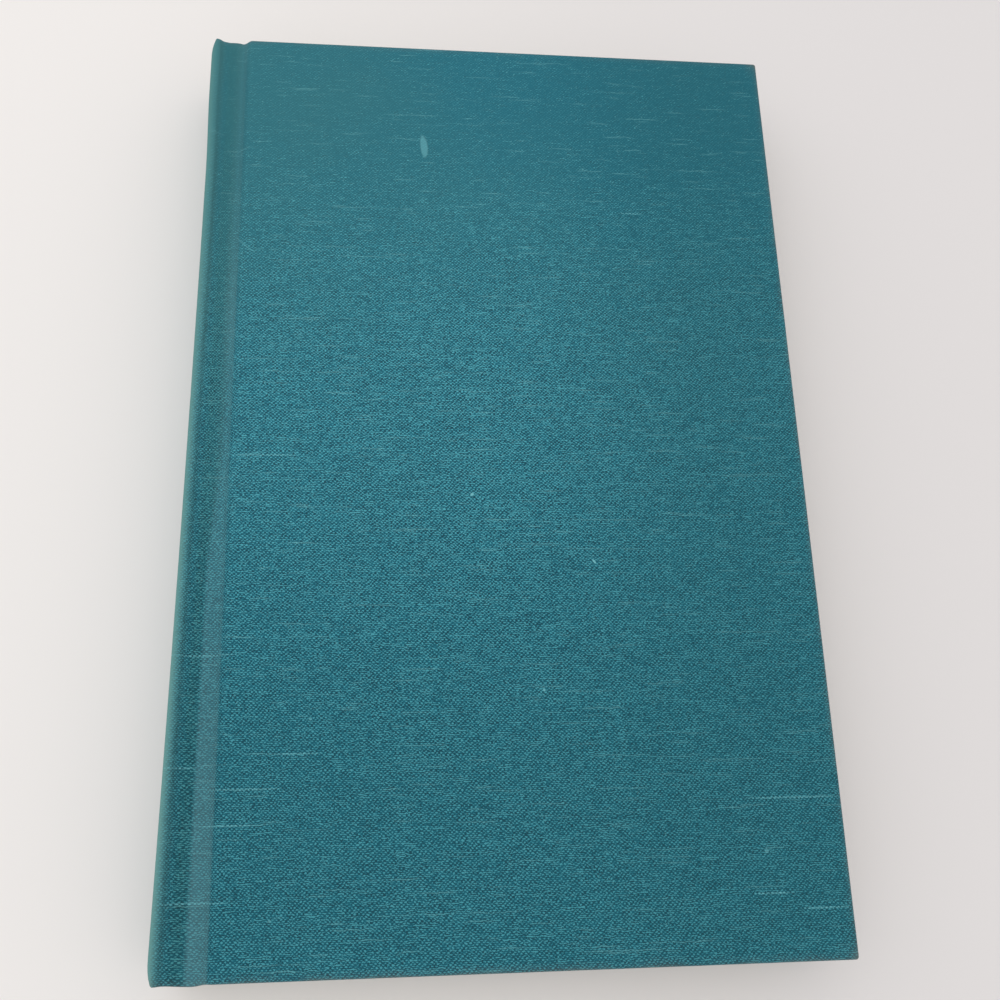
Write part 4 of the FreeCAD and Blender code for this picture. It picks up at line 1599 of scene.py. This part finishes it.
@dataclass
class SpineInlay:
    """The strip of card down the spine, just inside the cloth and drawn in with it."""

    cloth: CaseCloth
    half_width: float = 9.2
    gap: float = 0.04

    def build(self) -> bpy.types.Object:
        """Makes the inlay: two arcs concentric with the spine's, carried along the book.

        Returns:
            The finished object.
        """
        cloth, sizes = self.cloth, self.cloth.sizes
        outer = sizes.spine_radius - sizes.cloth - self.gap
        inner = outer - sizes.inlay + self.gap
        reach = math.asin(self.half_width / outer)
        turn = np.linspace(-reach, reach, 25)
        radius = np.concatenate([np.full(25, outer), np.full(25, inner)])
        angle = np.concatenate([turn, turn[::-1]])
        x = sizes.spine_radius - radius * np.cos(angle)
        height = radius * np.sin(angle)
        end = sizes.spine_end - 1.2
        y = np.linspace(-end, end, 61)
        grid_x, grid_y = np.broadcast_arrays(x[None, :], y[:, None])
        points = cloth.place(grid_x, sizes.middle - height[None, :], grid_y)
        piece = MeshPiece("spine_card")
        piece.add(points, grid_faces(len(y), len(x), closed=True))
        last = (len(y) - 1) * len(x)
        quads = np.stack([np.arange(24), np.arange(1, 25), 48 - np.arange(24), 49 - np.arange(24)], 1)
        piece.join(quads)
        piece.join(quads[:, ::-1] + last)
        made = piece.finish(smooth_angle=0.5)
        cloth.palette.dress(made, "grey_card")
        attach(made, "text_block")
        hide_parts("spine_inlay")
        return made


@dataclass
class Band:
    """A head or tail band: threads wound over a bead along the back of the pages."""

    sizes: BookSizes
    palette: Palette
    end: End
    radius: float = 0.8
    half_width: float = 8.0
    threads: int = 46

    def build(self) -> bpy.types.Object:
        """Makes the band: a bead carried round the spine's arc, and its tape.

        The bead's radius swells by the absolute sine of the thread count, so that each
        thread stands up as a ridge.

        Returns:
            The finished object.
        """
        sizes = self.sizes
        back = sizes.spine_radius - sizes.spine_layers
        reach = math.asin(self.half_width / back)
        steps = self.threads * 6 + 1
        turn = np.linspace(-reach, reach, steps)
        thread = np.linspace(0.0, self.threads, steps)
        ridge = 0.05 * np.abs(np.sin(math.pi * thread))
        closing = np.sqrt(np.clip(1.0 - np.abs(np.linspace(-1, 1, steps)) ** 24, 0.02, 1.0))
        around = np.linspace(0.0, 2 * math.pi, 17)[:-1]
        grown = (self.radius - 0.05 + ridge) * closing
        from_axis = back + 0.3 - self.radius + grown[:, None] * np.cos(around)[None, :]
        y = self.end.value * (sizes.pages_end + self.radius + grown[:, None] * np.sin(around)[None, :])
        centre = sizes.left + sizes.spine_radius
        points = np.stack(np.broadcast_arrays(
            centre - from_axis * np.cos(turn)[:, None], y, sizes.middle + from_axis * np.sin(turn)[:, None]), -1)
        piece = MeshPiece(f"{self.end.word}_sewn_band")
        numbers = np.broadcast_to(thread[:, None], points.shape[:2])
        piece.add(points, grid_faces(steps, 16, closed=True), thread=numbers.ravel())
        last = (steps - 1) * 16
        piece.join(np.array([np.arange(16), last + np.arange(16)]))
        tape = np.array([(0.28, 0.5), (0.28, -12.0), (0.02, -12.0), (0.02, 0.5)])
        tape_axis = back + tape[:, 0][None, :]
        tape_y = self.end.value * (sizes.pages_end + tape[:, 1])[None, :]
        bend = np.linspace(-reach * 0.97, reach * 0.97, 25)[:, None]
        points = np.stack(np.broadcast_arrays(
            centre - tape_axis * np.cos(bend), tape_y, sizes.middle + tape_axis * np.sin(bend)), -1)
        threads = np.broadcast_to(np.linspace(0, self.threads, 25)[:, None], points.shape[:2])
        first = piece.add(points, grid_faces(25, 4, closed=True), thread=threads.ravel())
        piece.join(np.array([[first, first + 1, first + 2, first + 3], [first + 96, first + 97, first + 98, first + 99]]))
        made = piece.finish(smooth_angle=0.8)
        self.palette.dress(made, "band_cotton")
        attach(made, "text_block")
        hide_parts(f"{self.end.word}_band")
        return made


@dataclass
class Studio:
    """The floor, the light and the camera."""

    sizes: BookSizes
    camera_place: tuple[float, float, float] = (-22.1, -80.94, 243.4)
    camera_right: tuple[float, float, float] = (0.9955, -0.0230, 0.0924)
    camera_up: tuple[float, float, float] = (-0.0053, 0.9554, 0.2953)
    lens: float = 36.63

    def build(self) -> None:
        """Makes the floor, the lamps, the world and the camera."""
        self.make_floor()
        self.make_lights()
        self.make_camera()

    def make_floor(self) -> None:
        """A pale floor, darker towards the right: painted shade for light that falls from the left."""
        bpy.ops.mesh.primitive_plane_add(size=12.0, location=(0.0, 0.0, -0.00005))
        floor = bpy.context.object
        floor.name = "floor"
        material = bpy.data.materials.new("table_white")
        material.use_nodes = True
        graph = Graph(material.node_tree)
        shader = material.node_tree.nodes["Principled BSDF"]
        shader.inputs["Roughness"].default_value = 0.55
        shader.inputs["Specular IOR Level"].default_value = 0.2
        parts = graph.node("ShaderNodeSeparateXYZ", {0: graph.object_mm()}).outputs
        # Painted shade: the floor darkens from left to right as the light falls
        across = graph.ramp(parts[0], -140.0, 130.0)
        tone = graph.mix(across, linear(236, 233, 231), linear(224, 221, 221))
        graph.fill(shader.inputs["Base Color"], tone)
        floor.data.materials.append(material)

    def make_lights(self) -> None:
        """A broad lamp over the spine side, a fill and an even world."""
        scene = bpy.context.scene
        scene.view_settings.view_transform = "Standard"
        world = bpy.data.worlds.new("studio")
        world.use_nodes = True
        world.node_tree.nodes["Background"].inputs["Color"].default_value = (1.0, 0.985, 0.975, 1.0)
        world.node_tree.nodes["Background"].inputs["Strength"].default_value = 0.77
        scene.world = world
        for name, place, power, size in (
            ("window", (-0.55, 0.30, 0.85), 2.3, 1.2),
            ("ceiling", (-0.05, 0.05, 1.3), 3.4, 1.5),
        ):
            lamp = bpy.data.lights.new(name, "AREA")
            lamp.energy = power
            lamp.size = size
            holder = bpy.data.objects.new(name, lamp)
            holder.location = place
            holder.rotation_euler = (-Vector(place)).to_track_quat("-Z", "Y").to_euler()
            scene.collection.objects.link(holder)

    def make_camera(self) -> None:
        """The camera, turned by its own right and up directions."""
        right, up = Vector(self.camera_right).normalized(), Vector(self.camera_up)
        back = right.cross(up).normalized()
        up = back.cross(right)
        turn = Matrix((right, up, back)).transposed()
        data = bpy.data.cameras.new("camera")
        data.lens = self.lens
        data.clip_start = 0.01
        camera = bpy.data.objects.new("camera", data)
        camera.matrix_world = Matrix.Translation(Vector(self.camera_place) * MM) @ turn.to_4x4()
        bpy.context.scene.collection.objects.link(camera)
        bpy.context.scene.camera = camera


@dataclass
class Book:
    """The whole book: its case, its pages and what lines them."""

    sizes: BookSizes
    palette: Palette

    def build(self) -> None:
        """Builds each piece and dresses the CAD nodes that stay."""
        made = [Pages(self.sizes, self.palette).build()]
        made.append(SpineInlay(CaseCloth(self.sizes, self.palette, Side.FRONT)).build())
        made.append(Mull(self.sizes, self.palette).build())
        for side in Side:
            cloth = CaseCloth(self.sizes, self.palette, side)
            made.append(cloth.build())
            made.append(Board(cloth).build())
            made += Endpaper(cloth).build()
        made += [Band(self.sizes, self.palette, end).build() for end in End]
        for piece in made:
            LOG.info("%s: %d faces", piece.name, len(piece.data.polygons))
        self.palette.dress(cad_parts["spine_lining"], "kraft_paper")


def main() -> None:
    """Builds the scene in order."""
    logging.basicConfig(level=logging.INFO, format="%(name)s: %(message)s")
    sizes = BookSizes.from_frame()
    Studio(sizes).build()
    palette = Palette()
    palette.build()
    Book(sizes, palette).build()


if __name__ == "__main__":
    main()
